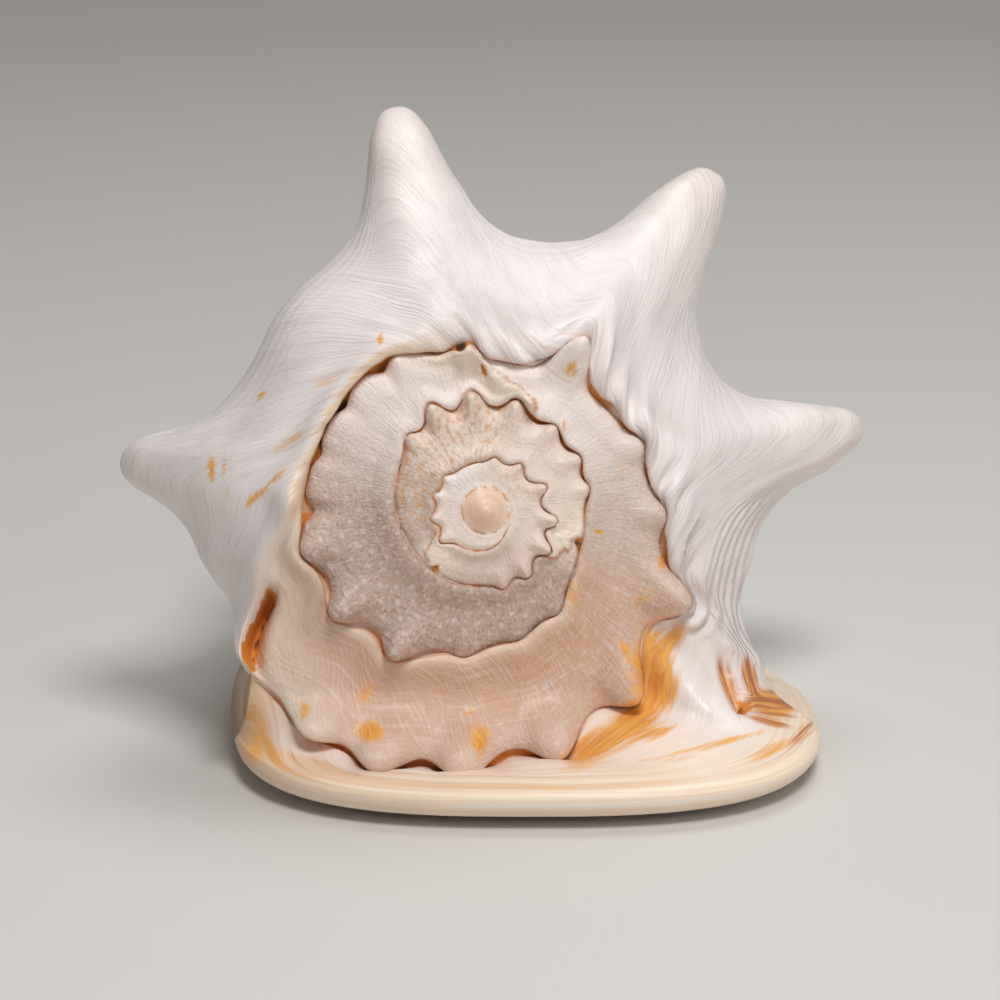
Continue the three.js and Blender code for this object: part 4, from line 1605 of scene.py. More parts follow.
    def back_traits(
        self, columns: Array, end: Array, places: Array, behind: Array, left: Array,
    ) -> dict[Trait, Array]:
        """What one ring of the back and the underside remembers.

        Args:
            columns: Growth angle of each column.
            end: Share down the shield's left end, or -1.
            places: The ring's points.
            behind: How far behind the outline it is.
            left: How much is left of the outline's own form.

        Returns:
            Traits by column.
        """
        back, shield, marks = self.back, self.back.shield, self.markings
        whole, ends, y = np.ones(len(columns)), end >= 0, places[:, 1]
        lip = smoothstep(columns, self.shield_starts, shield.first_angle)
        beneath = smoothstep(columns, shield.first_angle - 1, shield.first_angle + 1)
        under = np.maximum(beneath, ends)
        callus = np.maximum(lip, ends * smoothstep(end, *self.callus_from))
        horn = self.horn_share(columns, whole) * (1 - lip) * left
        sides = np.abs(places[:, 0] - back.left(y)), np.abs(places[:, 0] - back.right(y))
        edge = np.minimum(*sides)
        edge = np.where((under > 0.5) & ~ends, np.minimum(edge, behind), edge)
        low = 1 - smoothstep(places[:, 2], *marks.worn_height)
        worn = low * (1 - smoothstep(edge, *marks.worn_reach))
        width = self.whorls.outline(columns) - self.whorls.sutures.lip(columns)
        return {
            Trait.GROWTH: self.bent_growth(columns, whole),
            Trait.ACROSS: width + behind,
            Trait.EDGE: -behind,
            Trait.RADIUS: FAR,
            Trait.RIM: edge,
            Trait.SHIELD: callus,
            Trait.HORN: horn,
            Trait.RIBS: marks.ribs(behind, (1 - callus) * (1 - horn)),
            Trait.UNDER: under * ~ends,
            Trait.WORN: under * worn,
            Trait.WARM: marks.warm_back * ends * (1 - smoothstep(behind, *marks.warm_back_until)),
            Trait.BARS: marks.lip_bars(lip, y) * (1 - under),
            # Painted shade inside the slit.
            Trait.RUST_AND_SHADE: marks.slit_painted_shade * under * ~ends * back.slit.depth(places[:, 0], y),
        }

    def close_canal(self, ring: Array, places: Array, growth: Array) -> None:
        """The thick edge of the canal and the hollow inside it, with painted shade deepening as it sinks.

        Args:
            ring: Numbers of the last ring's points.
            places: The last ring's points.
            growth: Growth length of each column.
        """
        middle = places.mean(0)
        # Each ring is painted darker as it sinks: painted shade in the hollow.
        for share, sunk in self.canal_rings:
            inner = lerp(middle, places, share) - np.array([0, sunk, 0])
            ring = self.sew(ring, self.skin.add(inner, {
                Trait.GROWTH: growth, Trait.ACROSS: self.canal_across + sunk,
                Trait.RADIUS: FAR, Trait.RIM: FAR, Trait.SHIELD: self.canal_callus,
                Trait.RUST_AND_SHADE: float(smoothstep(sunk, 0, self.canal_shade_depth)),
            }))
        deep = (middle - np.array([0, self.canal_hub, 0]))[None]
        # The hub is painted black: painted shade at the bottom of the hollow.
        hub = self.skin.add(deep, {Trait.RUST_AND_SHADE: 1.0, Trait.RADIUS: FAR, Trait.RIM: FAR})
        self.skin.fan(hub[0], ring[::-1])


@dataclass(frozen=True)
class Ripple:
    """One layer of unevenness: the length of its waves in two directions, and its height."""

    first: float
    second: float
    height: float
    shift: Span = (0.0, 0.0)

    def __call__(self, noise: Unevenness, along: Array, aside: Array) -> Array:
        """Heights of the layer."""
        return self.height * noise(along / self.first + self.shift[0], aside / self.second + self.shift[1])


Ripples = tuple[Ripple, ...]


@dataclass(frozen=True)
class Relief:
    """Fine unevenness of the grown surface, in millimetres along its normals."""

    noise: Unevenness = Unevenness(11)
    markings: Markings = Markings()

    # Layers along the growth and across it.
    folds: Ripples = (Ripple(3.2, 45, 0.26), Ripple(8, 60, 0.182, (90, 0)))
    horn_folds: float = 0.5
    swells: Ripples = (Ripple(15, 16, 0.5, (40, 0)), Ripple(8, 9, 0.25))
    shield_swell: float = 0.3
    crinkles: Ripples = (Ripple(2.4, 7, 0.17), Ripple(1.5, 3, 0.09, (0, 50)))
    pleats: Ripples = (Ripple(5.5, 30, 2.3, (0, 7)), Ripple(2.3, 24, 0.92, (0, 70)))
    pleat_at: float = 4.5
    pleat_width: float = 4.5
    pleat_right: Span = (-20.0, 5.0)
    pleat_up: Span = (-45.0, -25.0)

    # Layers across the growth and along it, or from the shield's rim.
    rings: Ripples = (Ripple(3.4, 60, 0.3),)
    spirals: Ripples = (Ripple(2.8, 80, 0.16, (30, 0)),)
    spire_spirals: float = 0.625
    terraces: Ripples = (Ripple(2.4, 60, 0.25, (60, 0)),)
    terrace_from: Span = (0.5, 3.0)

    # The crease by the outer lip, from end to end, right of the apex and above it.
    crease: tuple[Span, Span] = ((56.6, -33.0), (62.6, -47.6))
    crease_depth: float = 2.6
    crease_width: float = 1.3
    crease_whole: float = 0.5
    crease_until: Span = (60.0, 64.0)

    def layers(self, ripples: Ripples, along: Array, aside: Array) -> Array:
        """Height of several layers together."""
        return sum(ripple(self.noise, along, aside) for ripple in ripples)

    def heights(self, skin: Skin, spire: SpireFrame) -> Array:
        """Heights for all points of the skin.

        Args:
            skin: The grown skin.
            spire: The frame that places the crease by the outer lip.

        Returns:
            Millimetres along the normals.
        """
        growth, across = skin.trait(Trait.GROWTH), skin.trait(Trait.ACROSS)
        on_spire, on_shield = skin.trait(Trait.SPIRE), skin.trait(Trait.SHIELD)
        horn, rim = skin.trait(Trait.HORN), skin.trait(Trait.RIM)
        bare = (1 - skin.trait(Trait.UNDER)) * (1 - np.clip(skin.trait(Trait.RUST_AND_SHADE), 0, 1))
        right, up = spire.plane(skin.place())
        swell = self.layers(self.swells, growth, across)
        spirals = self.layers(self.spirals, across, growth)
        folds = (1 + self.horn_folds * horn) * self.layers(self.folds, growth, across)
        rings = horn * self.layers(self.rings, across, growth)
        beside = bell(across - self.pleat_at, self.pleat_width)
        beside = beside * smoothstep(right, *self.pleat_right) * smoothstep(up, *self.pleat_up)
        pleats = beside * self.layers(self.pleats, growth, across)
        terraces = smoothstep(rim, *self.terrace_from) * self.layers(self.terraces, rim, growth)
        fine = (1 - on_spire) * (1 - on_shield) * (folds + swell + rings + spirals + pleats)
        fine = fine + on_spire * (self.layers(self.crinkles, growth, across) + self.spire_spirals * spirals)
        fine = fine + on_shield * (terraces + self.shield_swell * swell)
        return fine * bare - self.creases(right, up, across, on_spire)

    def creases(self, right: Array, up: Array, across: Array, on_spire: Array) -> Array:
        """Depth of the crease between the outer lip and the shield, and of the pit at its end.

        Args:
            right: Places to the right of the apex.
            up: Places above the apex.
            across: Distance from the seam, which keeps the crease off the back.
            on_spire: 1 on the spire.

        Returns:
            Depths in millimetres.
        """
        start, end = np.array(self.crease)
        along = end - start
        dx, dy = right - start[0], up - start[1]
        share = np.clip((dx * along[0] + dy * along[1]) / (along @ along), 0, 1)
        aside = np.hypot(dx - share * along[0], dy - share * along[1])
        depth = self.crease_depth * smoothstep(share, 0, self.crease_whole)
        crease = depth * bell(aside, self.crease_width)
        pits = self.markings.shade(self.markings.pits, right, up)
        return (crease * (1 - on_spire) + pits) * (1 - smoothstep(across, *self.crease_until))


class Dresser:
    """Turns a grown skin into a mesh object with its traits."""

    @staticmethod
    def normals(places: Array, faces: Array) -> Array:
        """Mean normals of all points.

        Args:
            places: The points.
            faces: Four point numbers a face.

        Returns:
            Unit vectors.
        """
        corners = places[faces]
        face = np.cross(corners[:, 2] - corners[:, 0], corners[:, 3] - corners[:, 1])
        total = np.zeros_like(places)
        for corner in range(4):
            np.add.at(total, faces[:, corner], face)
        return total / np.maximum(np.linalg.norm(total, axis=1, keepdims=True), 1e-9)

    @staticmethod
    def polygons(faces: Array) -> list[list[int]]:
        """Faces without repeated corners."""
        kept = [list(dict.fromkeys(face)) for face in faces.tolist()]
        return [face for face in kept if len(face) > 2]

    def mesh_object(self, name: str, skin: Skin, spire: SpireFrame, relief: Relief) -> bpy.types.Object:
        """Builds the object.

        Args:
            name: The object's name.
            skin: The grown skin.
            spire: The spire's frame.
            relief: Its fine unevenness.

        Returns:
            The linked object, in metres in the part's frame.
        """
        places, faces = skin.place(), np.concatenate(skin.faces)
        places = places + self.normals(places, faces) * relief.heights(skin, spire)[:, None]
        places = (places + np.array(ORIGIN_SHIFT)) * MM
        places[:, 2] = np.maximum(places[:, 2], 0)
        mesh = bpy.data.meshes.new(name)
        mesh.from_pydata(places.tolist(), [], self.polygons(faces))
        for trait in Trait:
            attribute = mesh.attributes.new(trait.value, "FLOAT", "POINT")
            attribute.data.foreach_set("value", skin.trait(trait).astype(np.float32))
        mesh.polygons.foreach_set("use_smooth", [True] * len(mesh.polygons))
        mesh.update()
        result = bpy.data.objects.new(name, mesh)
        bpy.context.scene.collection.objects.link(result)
        return result


class Value:
    """A shader socket with arithmetic."""

    def __init__(self, graph: "Graph", socket: bpy.types.NodeSocket) -> None:
        """Keeps the graph that new nodes go in."""
        self.graph = graph
        self.socket = socket

    def calculate(self, operation: str, *inputs: object) -> "Value":
        """Adds a maths node."""
        return self.graph.node("ShaderNodeMath", {"operation": operation}, dict(enumerate(inputs)))

    def __add__(self, other: object) -> "Value":
        """Adds."""
        return self.calculate("ADD", self, other)

    def __radd__(self, other: object) -> "Value":
        """Adds to a number."""
        return self.calculate("ADD", other, self)

    def __sub__(self, other: object) -> "Value":
        """Takes away."""
        return self.calculate("SUBTRACT", self, other)

    def __rsub__(self, other: object) -> "Value":
        """Takes this from a number."""
        return self.calculate("SUBTRACT", other, self)

    def __mul__(self, other: object) -> "Value":
        """Multiplies."""
        return self.calculate("MULTIPLY", self, other)

    def __rmul__(self, other: object) -> "Value":
        """Multiplies a number."""
        return self.calculate("MULTIPLY", other, self)

    def __truediv__(self, other: object) -> "Value":
        """Divides."""
        return self.calculate("DIVIDE", self, other)

    def sine(self) -> "Value":
        """Sine of an angle in radians."""
        return self.calculate("SINE", self)

    def absolute(self) -> "Value":
        """Size without its sign."""
        return self.calculate("ABSOLUTE", self)

    def between(self, low: float, high: float) -> "Value":
        """Eases from 0 at low to 1 at high."""
        settings = {"interpolation_type": "SMOOTHSTEP"}
        return self.graph.node("ShaderNodeMapRange", settings, {0: self, 1: low, 2: high, 3: 0.0, 4: 1.0})

    def clamped(self) -> "Value":
        """Keeps within 0 and 1."""
        return self.graph.node("ShaderNodeClamp", {}, {0: self})


class Graph:
    """A material's nodes."""

    def __init__(self, tree: bpy.types.NodeTree) -> None:
        """Keeps the tree."""
        self.tree = tree

    def node(
        self, kind: str, settings: dict[str, object], inputs: dict[object, object], output: object = 0,
    ) -> Value:
        """Adds a node.

        Args:
            kind: Blender's node type.
            settings: Its properties, set first.
            inputs: Values or links, by socket name or number.
            output: The socket to hand back.

        Returns:
            That socket.
        """
        node = self.tree.nodes.new(kind)
        for key, value in settings.items():
            setattr(node, key, value)
        for key, value in inputs.items():
            if isinstance(value, Value):
                self.tree.links.new(value.socket, node.inputs[key])
            else:
                node.inputs[key].default_value = value
        return Value(self, node.outputs[output] if len(node.outputs) else None)

    def trait(self, trait: Trait) -> Value:
        """Reads what the skin remembers."""
        return self.node("ShaderNodeAttribute", {"attribute_name": trait.value}, {}, "Fac")

    def mix(self, share: object, start: object, end: object) -> Value:
        """Mixes two colours."""
        return self.node("ShaderNodeMix", {"data_type": "RGBA"}, {0: share, 6: start, 7: end}, 2)

    def noise(self, x: object, y: object, detail: float = 2.0, seed: float = 0.0) -> Value:
        """Noise over two lengths."""
        place = self.node("ShaderNodeCombineXYZ", {}, {0: x, 1: y, 2: seed})
        return self.node("ShaderNodeTexNoise", {}, {"Vector": place, "Scale": 1.0, "Detail": detail}, 0)


def colour(red: int, green: int, blue: int) -> Colour:
    """Turns a display colour into scene light.

    Args:
        red: Red from 0 to 255.
        green: Green, likewise.
        blue: Blue, likewise.

    Returns:
        Red, green, blue and a full alpha, from 0 to 1.
    """
    shares = [channel / 255 for channel in (red, green, blue)]
    linear = [c / 12.92 if c <= 0.04045 else ((c + 0.055) / 1.055) ** 2.4 for c in shares]
    return (*linear, 1.0)


@dataclass(frozen=True)
class Band:
    """The span over which a value comes to show, and how strongly it does."""

    low: float
    high: float
    depth: float = 1.0

    def of(self, value: Value) -> Value:
        """0 under the span to the full depth over it."""
        return value.between(self.low, self.high) * self.depth

    def before(self, value: Value) -> Value:
        """1 under the span to 0 over it."""
        return 1 - value.between(self.low, self.high)


@dataclass(frozen=True)
class Grain:
    """A noise pattern: waves in a millimetre in two directions, and the band of it that shows."""

    first: float
    second: float
    seed: float
    shown: Band = Band(0, 1)
    detail: float = 2.0

    def raw(self, graph: Graph, along: Value, aside: Value) -> Value:
        """The noise itself, about a half."""
        return graph.noise(along * self.first, aside * self.second, self.detail, self.seed)


class Surface(Graph):
    """The shell's nodes, with the lengths and the growth lines that all its layers read."""

    LINES = Grain(1.5, 0.1, 0)
    CRINKLE = Grain(1.9, 0.9, 30, detail=3)

    def __init__(self, tree: bpy.types.NodeTree) -> None:
        """Reads the lengths and makes the lines."""
        super().__init__(tree)
        self.growth, self.across = self.trait(Trait.GROWTH), self.trait(Trait.ACROSS)
        self.radius, self.rim = self.trait(Trait.RADIUS), self.trait(Trait.RIM)
        self.on_shield, self.on_spire = self.trait(Trait.SHIELD), self.trait(Trait.SPIRE)
        self.crevice, self.beige = self.trait(Trait.RUST_AND_SHADE), self.trait(Trait.BEIGE)
        self.lines = self.LINES.raw(self, self.growth, self.across)
        self.crinkle = self.CRINKLE.raw(self, self.growth, self.across)

    def grown(self, grain: Grain) -> Value:
        """A pattern along the growth and across it."""
        return grain.shown.of(grain.raw(self, self.growth, self.across))

    def rimmed(self, grain: Grain) -> Value:
        """A pattern from the shield's rim inward and along the growth."""
        return grain.shown.of(grain.raw(self, self.rim, self.growth))


WHITE = colour(244, 235, 233)
PALE = colour(247, 234, 228)
CREAM = colour(247, 228, 206)
OCHRE = colour(216, 152, 84)
DEEP_ORANGE = colour(222, 138, 34)


@dataclass(frozen=True)
class BodyTint:
    """Near-white body whorl with faint growth lines, pleats by the seam and creamy horns."""

    lilac: Colour = colour(216, 203, 202)
    blush: Colour = colour(224, 198, 188)
    cloud: Grain = Grain(0.06, 0.05, 9, Band(0.4, 0.65, 0.35))
    lines: Band = Band(0.5, 0.68, 0.25)
    pleats: Grain = Grain(0.5, 0.03, 51, Band(0.5, 0.64, 0.6))
    pleat_reach: Band = Band(3, 9)
    horn_cream: float = 0.2

    def tint(self, surface: Surface) -> Value:
        """The body's colour.

        Args:
            surface: The shell's nodes.

        Returns:
            A colour.
        """
        shade = surface.grown(self.cloud) + self.lines.of(surface.lines)
        base = surface.mix(shade.clamped(), WHITE, self.lilac)
        pleats = surface.grown(self.pleats) * self.pleat_reach.before(surface.across)
        base = surface.mix(pleats, base, self.blush)
        return surface.mix(surface.trait(Trait.HORN) * self.horn_cream, base, CREAM)


@dataclass(frozen=True)
class SpireTint:
    """Warmer spire, from a peach apex to taupe and beige whorls."""

    peach: Colour = colour(240, 204, 176)
    early: Colour = colour(241, 222, 208)
    taupe: Colour = colour(168, 133, 116)
    beige: Colour = colour(212, 174, 147)

    # The dome, with a faint spiral, and the plain whorls round it.
    dome_step: float = 1.9
    dome_spiral: Band = Band(0.5, 1, 0.4)
    dome_end: Band = Band(5, 9)
    dome_ragged: float = 2.0
    mottle: Grain = Grain(0.7, 0.8, 15, Band(0.5, 0.68, 0.2))
    taupe_depth: float = 0.7
    plain_depth: float = 0.9

    # Clouds and lines on the beige; dashes, flecks and rows of dots on the early whorls.
    cloud: Grain = Grain(0.1, 0.16, 36, Band(0.5, 0.72, 0.3), 3)
    lines: Band = Band(0.5, 0.7, 0.3)
    spirals: Grain = Grain(1.2, 0.05, 39, Band(0.5, 0.7, 0.25))
    dashes: Grain = Grain(1.1, 0.6, 12, Band(0.4, 0.72, 0.75), 4)
    ring: Band = Band(0.42, 0.62, 0.6)
    ring_starts: Band = Band(5.4, 6.6)
    ring_ends: Band = Band(7, 10)
    flecks: Band = Band(0.48, 0.7, 0.34)
    fleck_starts: Band = Band(6, 9)
    fleck_loss: float = 0.6
    dots: Band = Band(0.5, 1, 0.34)
    dot_row: float = 5.0
    dot_step: float = 5.4

    # The first seam, a broken line with small teeth, and the pale chips along it.
    first_teeth: float = 15.0
    tooth_height: float = 0.4
    uneven: Grain = Grain(0.035, 0.3, 48, detail=3)
    uneven_height: float = 1.6
    seam: Band = Band(0.4, 0.56, 0.85)
    seam_starts: Band = Band(4.9, 5.25)
    seam_ends: Band = Band(5.35, 5.8)
    chips: Band = Band(0.36, 0.46)
    chips_start: Band = Band(4.5, 5.1)
    chips_end: Band = Band(6.4, 6.6)

    def over(self, surface: Surface, base: Value) -> Value:
        """Lays the spire's colour over the body's.

        Args:
            surface: The shell's nodes.
            base: The body's colour.

        Returns:
            A colour.
        """
        beige, radius, crinkle = surface.beige, surface.radius, surface.crinkle
        warm = surface.mix(surface.grown(self.cloud) * beige, self.whorls(surface), OCHRE)
        spirals = self.spirals.shown.of(self.spirals.raw(surface, surface.across, surface.growth))
        warm = surface.mix((self.lines.of(surface.lines) + spirals) * beige, warm, WHITE)
        warm = surface.mix(surface.grown(self.dashes) * surface.trait(Trait.DASH), warm, OCHRE)
        ring = self.ring_starts.of(radius) * self.ring_ends.before(radius) * self.ring.of(crinkle)
        flecks = self.flecks.of(crinkle) * self.fleck_starts.of(radius) * (1 - beige * self.fleck_loss)
        warm = self.first_seam(surface, surface.mix((flecks + ring).clamped(), warm, WHITE))
        rows = (surface.across * (math.tau / self.dot_row)).sine()
        steps = (surface.growth * (math.tau / self.dot_step)).sine()
        warm = surface.mix(self.dots.of(rows * steps) * surface.trait(Trait.TAUPE), warm, WHITE)
        return surface.mix(surface.on_spire, base, warm)

    def whorls(self, surface: Surface) -> Value:
        """Plain colours of the dome and of each stretch of the whorls.

        Args:
            surface: The shell's nodes.

        Returns:
            A colour.
        """
        turns = (surface.across * (math.tau / self.dome_step)).sine()
        dome = surface.mix(self.dome_spiral.of(turns), self.peach, PALE)
        ragged = surface.radius + surface.crinkle * self.dome_ragged
        warm = surface.mix(self.dome_end.of(ragged), dome, self.early)
        taupe = self.taupe_depth + surface.grown(self.mottle)
        warm = surface.mix(surface.trait(Trait.TAUPE) * taupe, warm, self.taupe)
        warm = surface.mix(surface.trait(Trait.PALE) * self.plain_depth, warm, PALE)
        return surface.mix(surface.beige * self.plain_depth, warm, self.beige)

    def first_seam(self, surface: Surface, warm: Value) -> Value:
        """Lays the seam round the dome over the spire's colour.

        Args:
            surface: The shell's nodes.
            warm: The spire's colour so far.

        Returns:
            A colour.
        """
        radius, around = surface.radius, surface.trait(Trait.AROUND)
        teeth = (around * (math.pi / self.first_teeth)).sine().absolute()
        uneven = self.uneven.raw(surface, around, radius)
        edge = radius - teeth * self.tooth_height + (uneven - 0.5) * self.uneven_height
        seam = self.seam_starts.of(edge) * self.seam_ends.before(edge) * self.seam.of(uneven)
        chips = self.chips_start.of(edge) * self.chips_end.before(radius) * self.chips.before(uneven)
        return surface.mix(chips, surface.mix(seam, warm, OCHRE), PALE)


@dataclass(frozen=True)
class ShieldTint:
    """Cream shield, striped along its rim."""

    cream: Colour = colour(251, 235, 214)
    stripe: Colour = colour(230, 172, 104)
    trough: Colour = colour(252, 237, 224)
    bare: Colour = colour(238, 228, 218)
    broad: Grain = Grain(0.22, 0.012, 18, Band(0.4, 0.7, 0.36))
    thin: Grain = Grain(1.3, 0.02, 27, Band(0.45, 0.75))
    thin_depth: float = 0.27
    lines: Grain = Grain(0.8, 0.016, 42, Band(0.42, 0.6, 0.25))
    line_reach: Band = Band(6, 12)
    warm_depth: float = 0.3
    warm_stripes: float = 0.5
    under_reach: Band = Band(3, 14)
    trough_starts: Band = Band(16, 26)
    trough_depth: float = 0.8
    trough_warm: float = 0.5
    pale_depth: float = 0.85
    edge_reach: Band = Band(0.1, 0.9)
    edge_worn: float = 0.4

    def over(self, surface: Surface, base: Value) -> Value:
        """Lays the shield's colour over the rest.

        Args:
            surface: The shell's nodes.
            base: The colour so far.

        Returns:
            A colour.
        """
        rim, thin = surface.rim, surface.rimmed(self.thin)
        warm = surface.trait(Trait.WARM) * (self.warm_depth + thin * self.warm_stripes)
        lines = surface.rimmed(self.lines) * self.line_reach.before(rim)
        stripes = surface.rimmed(self.broad) + thin * self.thin_depth + lines + warm
        stripes = stripes * (1 - surface.trait(Trait.UNDER) * self.under_reach.of(rim))
        cream = surface.mix(stripes.clamped(), self.cream, self.stripe)
        trough = self.trough_starts.of(rim) * (self.trough_depth - warm * self.trough_warm)
        cream = surface.mix(trough, cream, self.trough)
        cream = surface.mix(surface.trait(Trait.PALE) * self.pale_depth, cream, WHITE)
        worn = surface.trait(Trait.WORN) + self.edge_reach.before(rim) * self.edge_worn
        return surface.mix(surface.on_shield, base, surface.mix(worn.clamped(), cream, self.bare))


@dataclass(frozen=True)
class Stains:
    """Cream old lips, orange spots, brown bars, rusty crevices and painted shade where they are deepest."""

    orange: Colour = colour(252, 192, 92)
    bar: Colour = colour(236, 164, 70)
    bar_deep: Colour = colour(176, 98, 40)
    rust: Colour = colour(214, 138, 62)
    painted_shade: Colour = colour(62, 32, 15)
    streak: Grain = Grain(0.7, 0.09, 33, detail=3)
    broken: Grain = Grain(1.3, 0.28, 21, detail=3)
    bar_streak: Grain = Grain(2.6, 0.06, 45, detail=3)

    # Spots and bars show where their strength is over their broken noise and the least that shows.
    spot_strength: float = 1.9
    spot_breaks: Band = Band(0.3, 0.75, 0.95)
    spot_least: float = 0.1
    spot_cover: float = 0.95
    spot_deepens: float = 0.3
    spot_deep: Band = Band(0.38, 0.62, 0.55)
    bar_strength: float = 1.8
    bar_breaks: Band = Band(0.35, 0.65, 0.5)
    bar_least: float = 0.3
    bar_cover: float = 0.92
    bar_tone: Band = Band(0.4, 0.6)
    rust_tone: Band = Band(0.4, 0.62, 0.7)
    rusty: Band = Band(0.06, 0.42)
    painted_shade_band: Band = Band(0.6, 1)

    def over(self, surface: Surface, base: Value) -> Value:
        """Lays the stains over the rest.

        Args:
            surface: The shell's nodes.
            base: The colour so far.

        Returns:
            A colour.
        """
        on_shield, crevice = surface.on_shield, surface.crevice
        streak = self.streak.raw(surface, surface.rim, surface.growth) * on_shield
        broken = self.broken.raw(surface, surface.growth, surface.across) * (1 - on_shield) + streak
        tint = surface.mix(surface.trait(Trait.CREAM).clamped(), base, CREAM)
        spots = surface.trait(Trait.STAIN) * self.spot_strength - self.spot_breaks.of(broken)
        spots = (spots - self.spot_least).clamped()
        deep = (spots * self.spot_deepens + self.spot_deep.of(broken)).clamped()
        tint = surface.mix(spots * self.spot_cover, tint, surface.mix(deep, self.orange, DEEP_ORANGE))
        streaks = self.bar_streak.raw(surface, surface.trait(Trait.STREAK), surface.across)
        bars = surface.trait(Trait.BARS) * self.bar_strength - self.bar_breaks.of(streaks)
        bars = (bars - self.bar_least).clamped() * self.bar_cover
        tint = surface.mix(bars, tint, surface.mix(self.bar_tone.of(streaks), self.bar_deep, self.bar))
        rust = surface.mix(self.rust_tone.of(broken), self.rust, DEEP_ORANGE)
        tint = surface.mix(self.rusty.of(crevice), tint, rust)
        # Painted shade: near-black colour where the crevices are deepest.
        return surface.mix(self.painted_shade_band.of(crevice), tint, self.painted_shade)


@dataclass(frozen=True)
class ShellFinish:
    """Glossy porcelain, stained in its crevices, with painted shade in the deepest of them."""

    body: BodyTint = BodyTint()
    spire: SpireTint = SpireTint()
    shield: ShieldTint = ShieldTint()
    stains: Stains = Stains()

    rough: float = 0.44
    crevice_rough: float = 0.3
    line_rough: float = 0.15
    shield_gloss: float = 0.08
    coat: float = 0.12
    coat_rough: float = 0.25

    # The bump: growth lines, spirals, crinkles, ribs and terraces.
    bump: float = 0.75
    bump_distance: float = 0.0009
    finer: Grain = Grain(4, 0.2, 3)
    spiral: Grain = Grain(1.1, 0.04, 6)
    terrace: Grain = Grain(1.2, 0.03, 24)
    line_height: float = 0.4
    finer_height: float = 0.24
    spire_loss: float = 0.3
    spiral_height: float = 0.12
    spire_spiral: float = 0.2
    crinkle_height: float = 0.14
    spire_crinkle: float = 0.36
    beige_loss: float = 0.22
    dome_end: Band = Band(6.6, 8.5)
    rib_step: float = 1.8
    rib_wave: float = 1.5
    rib_height: float = 0.4
    terrace_height: float = 0.3

    def material(self) -> bpy.types.Material:
        """Builds the material.

        Returns:
            The finished material.
        """
        result = bpy.data.materials.new("shell_porcelain")
        result.use_nodes = True
        result.node_tree.nodes.clear()
        surface = Surface(result.node_tree)
        tint = self.spire.over(surface, self.body.tint(surface))
        tint = self.stains.over(surface, self.shield.over(surface, tint))
        lines = (surface.lines - 0.5) * self.line_rough * (1 - surface.on_shield)
        rough = self.rough + surface.crevice * self.crevice_rough + lines
        normal = surface.node("ShaderNodeBump", {}, {
            "Strength": self.bump, "Distance": self.bump_distance, "Height": self.height(surface),
        })
        shader = surface.node("ShaderNodeBsdfPrincipled", {}, {
            "Base Color": tint, "Normal": normal,
            "Roughness": (rough - surface.on_shield * self.shield_gloss).clamped(),
            "Coat Weight": self.coat, "Coat Roughness": self.coat_rough,
        })
        surface.node("ShaderNodeOutputMaterial", {}, {"Surface": shader})
        return result

    def height(self, surface: Surface) -> Value:
        """Height of the bump.

        Args:
            surface: The shell's nodes.

        Returns:
            Shares of the bump's distance.
        """
        growth, across = surface.growth, surface.across
        on_spire, on_shield = surface.on_spire, surface.on_shield
        lines = surface.lines * self.line_height
        lines = lines + self.finer.raw(surface, growth, across) * self.finer_height
        spiral = self.spiral_height + on_spire * self.spire_spiral
        crinkle = self.crinkle_height + on_spire * (self.spire_crinkle - surface.beige * self.beige_loss)
        grown = lines * (1 - on_spire * self.spire_loss) + surface.crinkle * crinkle
        grown = grown + self.spiral.raw(surface, across, growth) * spiral
        ribs = surface.trait(Trait.EDGE) * (math.tau / self.rib_step) + surface.lines * self.rib_wave
        ribs = ribs.sine() * surface.trait(Trait.RIBS) * self.rib_height
        terrace = self.terrace.raw(surface, surface.rim, growth) * on_shield * self.terrace_height
        return (grown * self.dome_end.of(surface.radius) + ribs) * (1 - on_shield) + terrace


@dataclass(frozen=True)
class Light:
    """One soft area light, in metres and watts."""

    name: str
    place: tuple[float, float, float]
    size: float
    power: float


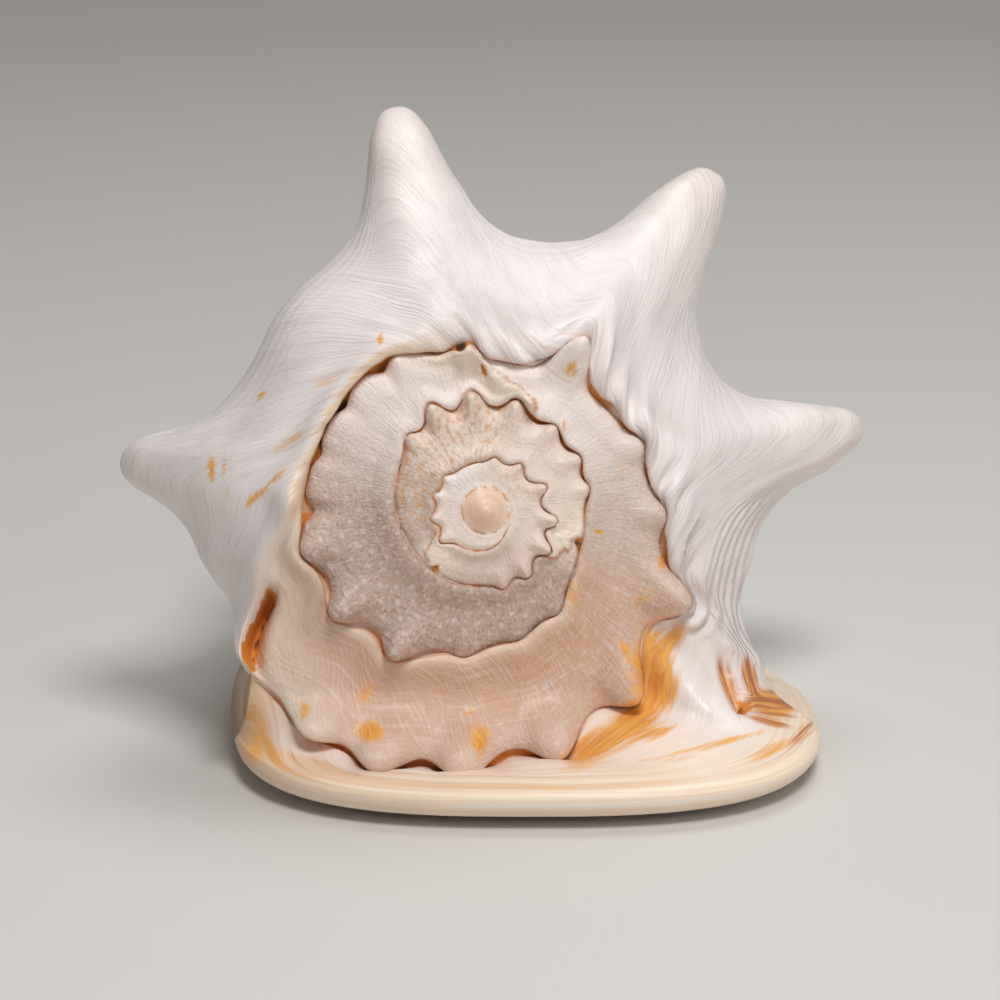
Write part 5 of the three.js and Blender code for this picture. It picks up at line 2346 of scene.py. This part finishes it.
@dataclass(frozen=True)
class Studio:
    """Pale floor, soft light and the camera."""

    target: tuple[float, float, float] = (ORIGIN_SHIFT[0] * MM, ORIGIN_SHIFT[1] * MM, 55.3 * MM)
    elevation: float = math.radians(17)
    distance: float = 1.019
    lens: float = 146.7
    sensor: float = 36.0
    floor_size: float = 12.0
    floor_gap: float = 0.2 * MM
    floor: Colour = colour(214, 211, 207)
    floor_rough: float = 0.7
    world: Colour = colour(212, 209, 206)
    world_strength: float = 0.27
    lights: tuple[Light, ...] = (
        Light("key", (0.18, -0.75, 1.1), 0.4, 9.6),
        Light("fill", (0.95, -0.7, 0.6), 0.7, 1.7),
        Light("top", (0.15, 0.3, 1.2), 0.7, 4.6),
    )

    def build(self) -> None:
        """Adds everything round the shell."""
        self.add_floor()
        for light in self.lights:
            self.add_light(light)
        self.add_world()
        self.add_camera()

    def add_floor(self) -> None:
        """A plain pale floor."""
        half, low = self.floor_size / 2, -self.floor_gap
        mesh = bpy.data.meshes.new("floor")
        corners = [(-half, -half, low), (half, -half, low), (half, half, low), (-half, half, low)]
        mesh.from_pydata(corners, [], [(0, 1, 2, 3)])
        material = bpy.data.materials.new("floor_paint")
        material.use_nodes = True
        shader = material.node_tree.nodes["Principled BSDF"]
        shader.inputs["Base Color"].default_value = self.floor
        shader.inputs["Roughness"].default_value = self.floor_rough
        mesh.materials.append(material)
        floor = bpy.data.objects.new("floor", mesh)
        bpy.context.scene.collection.objects.link(floor)

    def add_light(self, light: Light) -> None:
        """A soft light that points at the shell.

        Args:
            light: The light.
        """
        data = bpy.data.lights.new(light.name, "AREA")
        data.shape = "DISK"
        data.size = light.size
        data.energy = light.power
        self.aim(bpy.data.objects.new(light.name, data), Vector(light.place))

    def aim(self, thing: bpy.types.Object, place: Vector) -> None:
        """Turns a light or the camera to the shell.

        Args:
            thing: The light or the camera.
            place: Where it stands.
        """
        thing.location = place
        thing.rotation_euler = (Vector(self.target) - place).to_track_quat("-Z", "Y").to_euler()
        bpy.context.scene.collection.objects.link(thing)

    def add_world(self) -> None:
        """Pale light from all around."""
        world = bpy.data.worlds.new("studio")
        world.use_nodes = True
        background = world.node_tree.nodes["Background"]
        background.inputs["Color"].default_value = self.world
        background.inputs["Strength"].default_value = self.world_strength
        bpy.context.scene.world = world
        bpy.context.scene.view_settings.view_transform = "Standard"

    def add_camera(self) -> None:
        """The camera at the photo's angle."""
        data = bpy.data.cameras.new("camera")
        data.lens = self.lens
        data.sensor_width = self.sensor
        camera = bpy.data.objects.new("camera", data)
        toward = Vector((0, -math.cos(self.elevation), math.sin(self.elevation)))
        self.aim(camera, Vector(self.target) + toward * self.distance)
        bpy.context.scene.camera = camera


def main() -> None:
    """Builds the shell and the studio."""
    logging.basicConfig(level=logging.INFO)
    shell = HelmetShell()
    shell.grow()
    body = Dresser().mesh_object("helmet_shell", shell.skin, shell.whorls.spire, Relief())
    body.data.materials.append(ShellFinish().material())
    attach(body, "root")
    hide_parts("shell")
    LOG.info("shell: %d points, %d faces", len(body.data.vertices), len(body.data.polygons))
    studio = Studio()
    studio.build()
    LOG.info("studio: floor, %d lights, camera", len(studio.lights))
    bpy.context.view_layer.update()


if __name__ == "__main__":
    main()
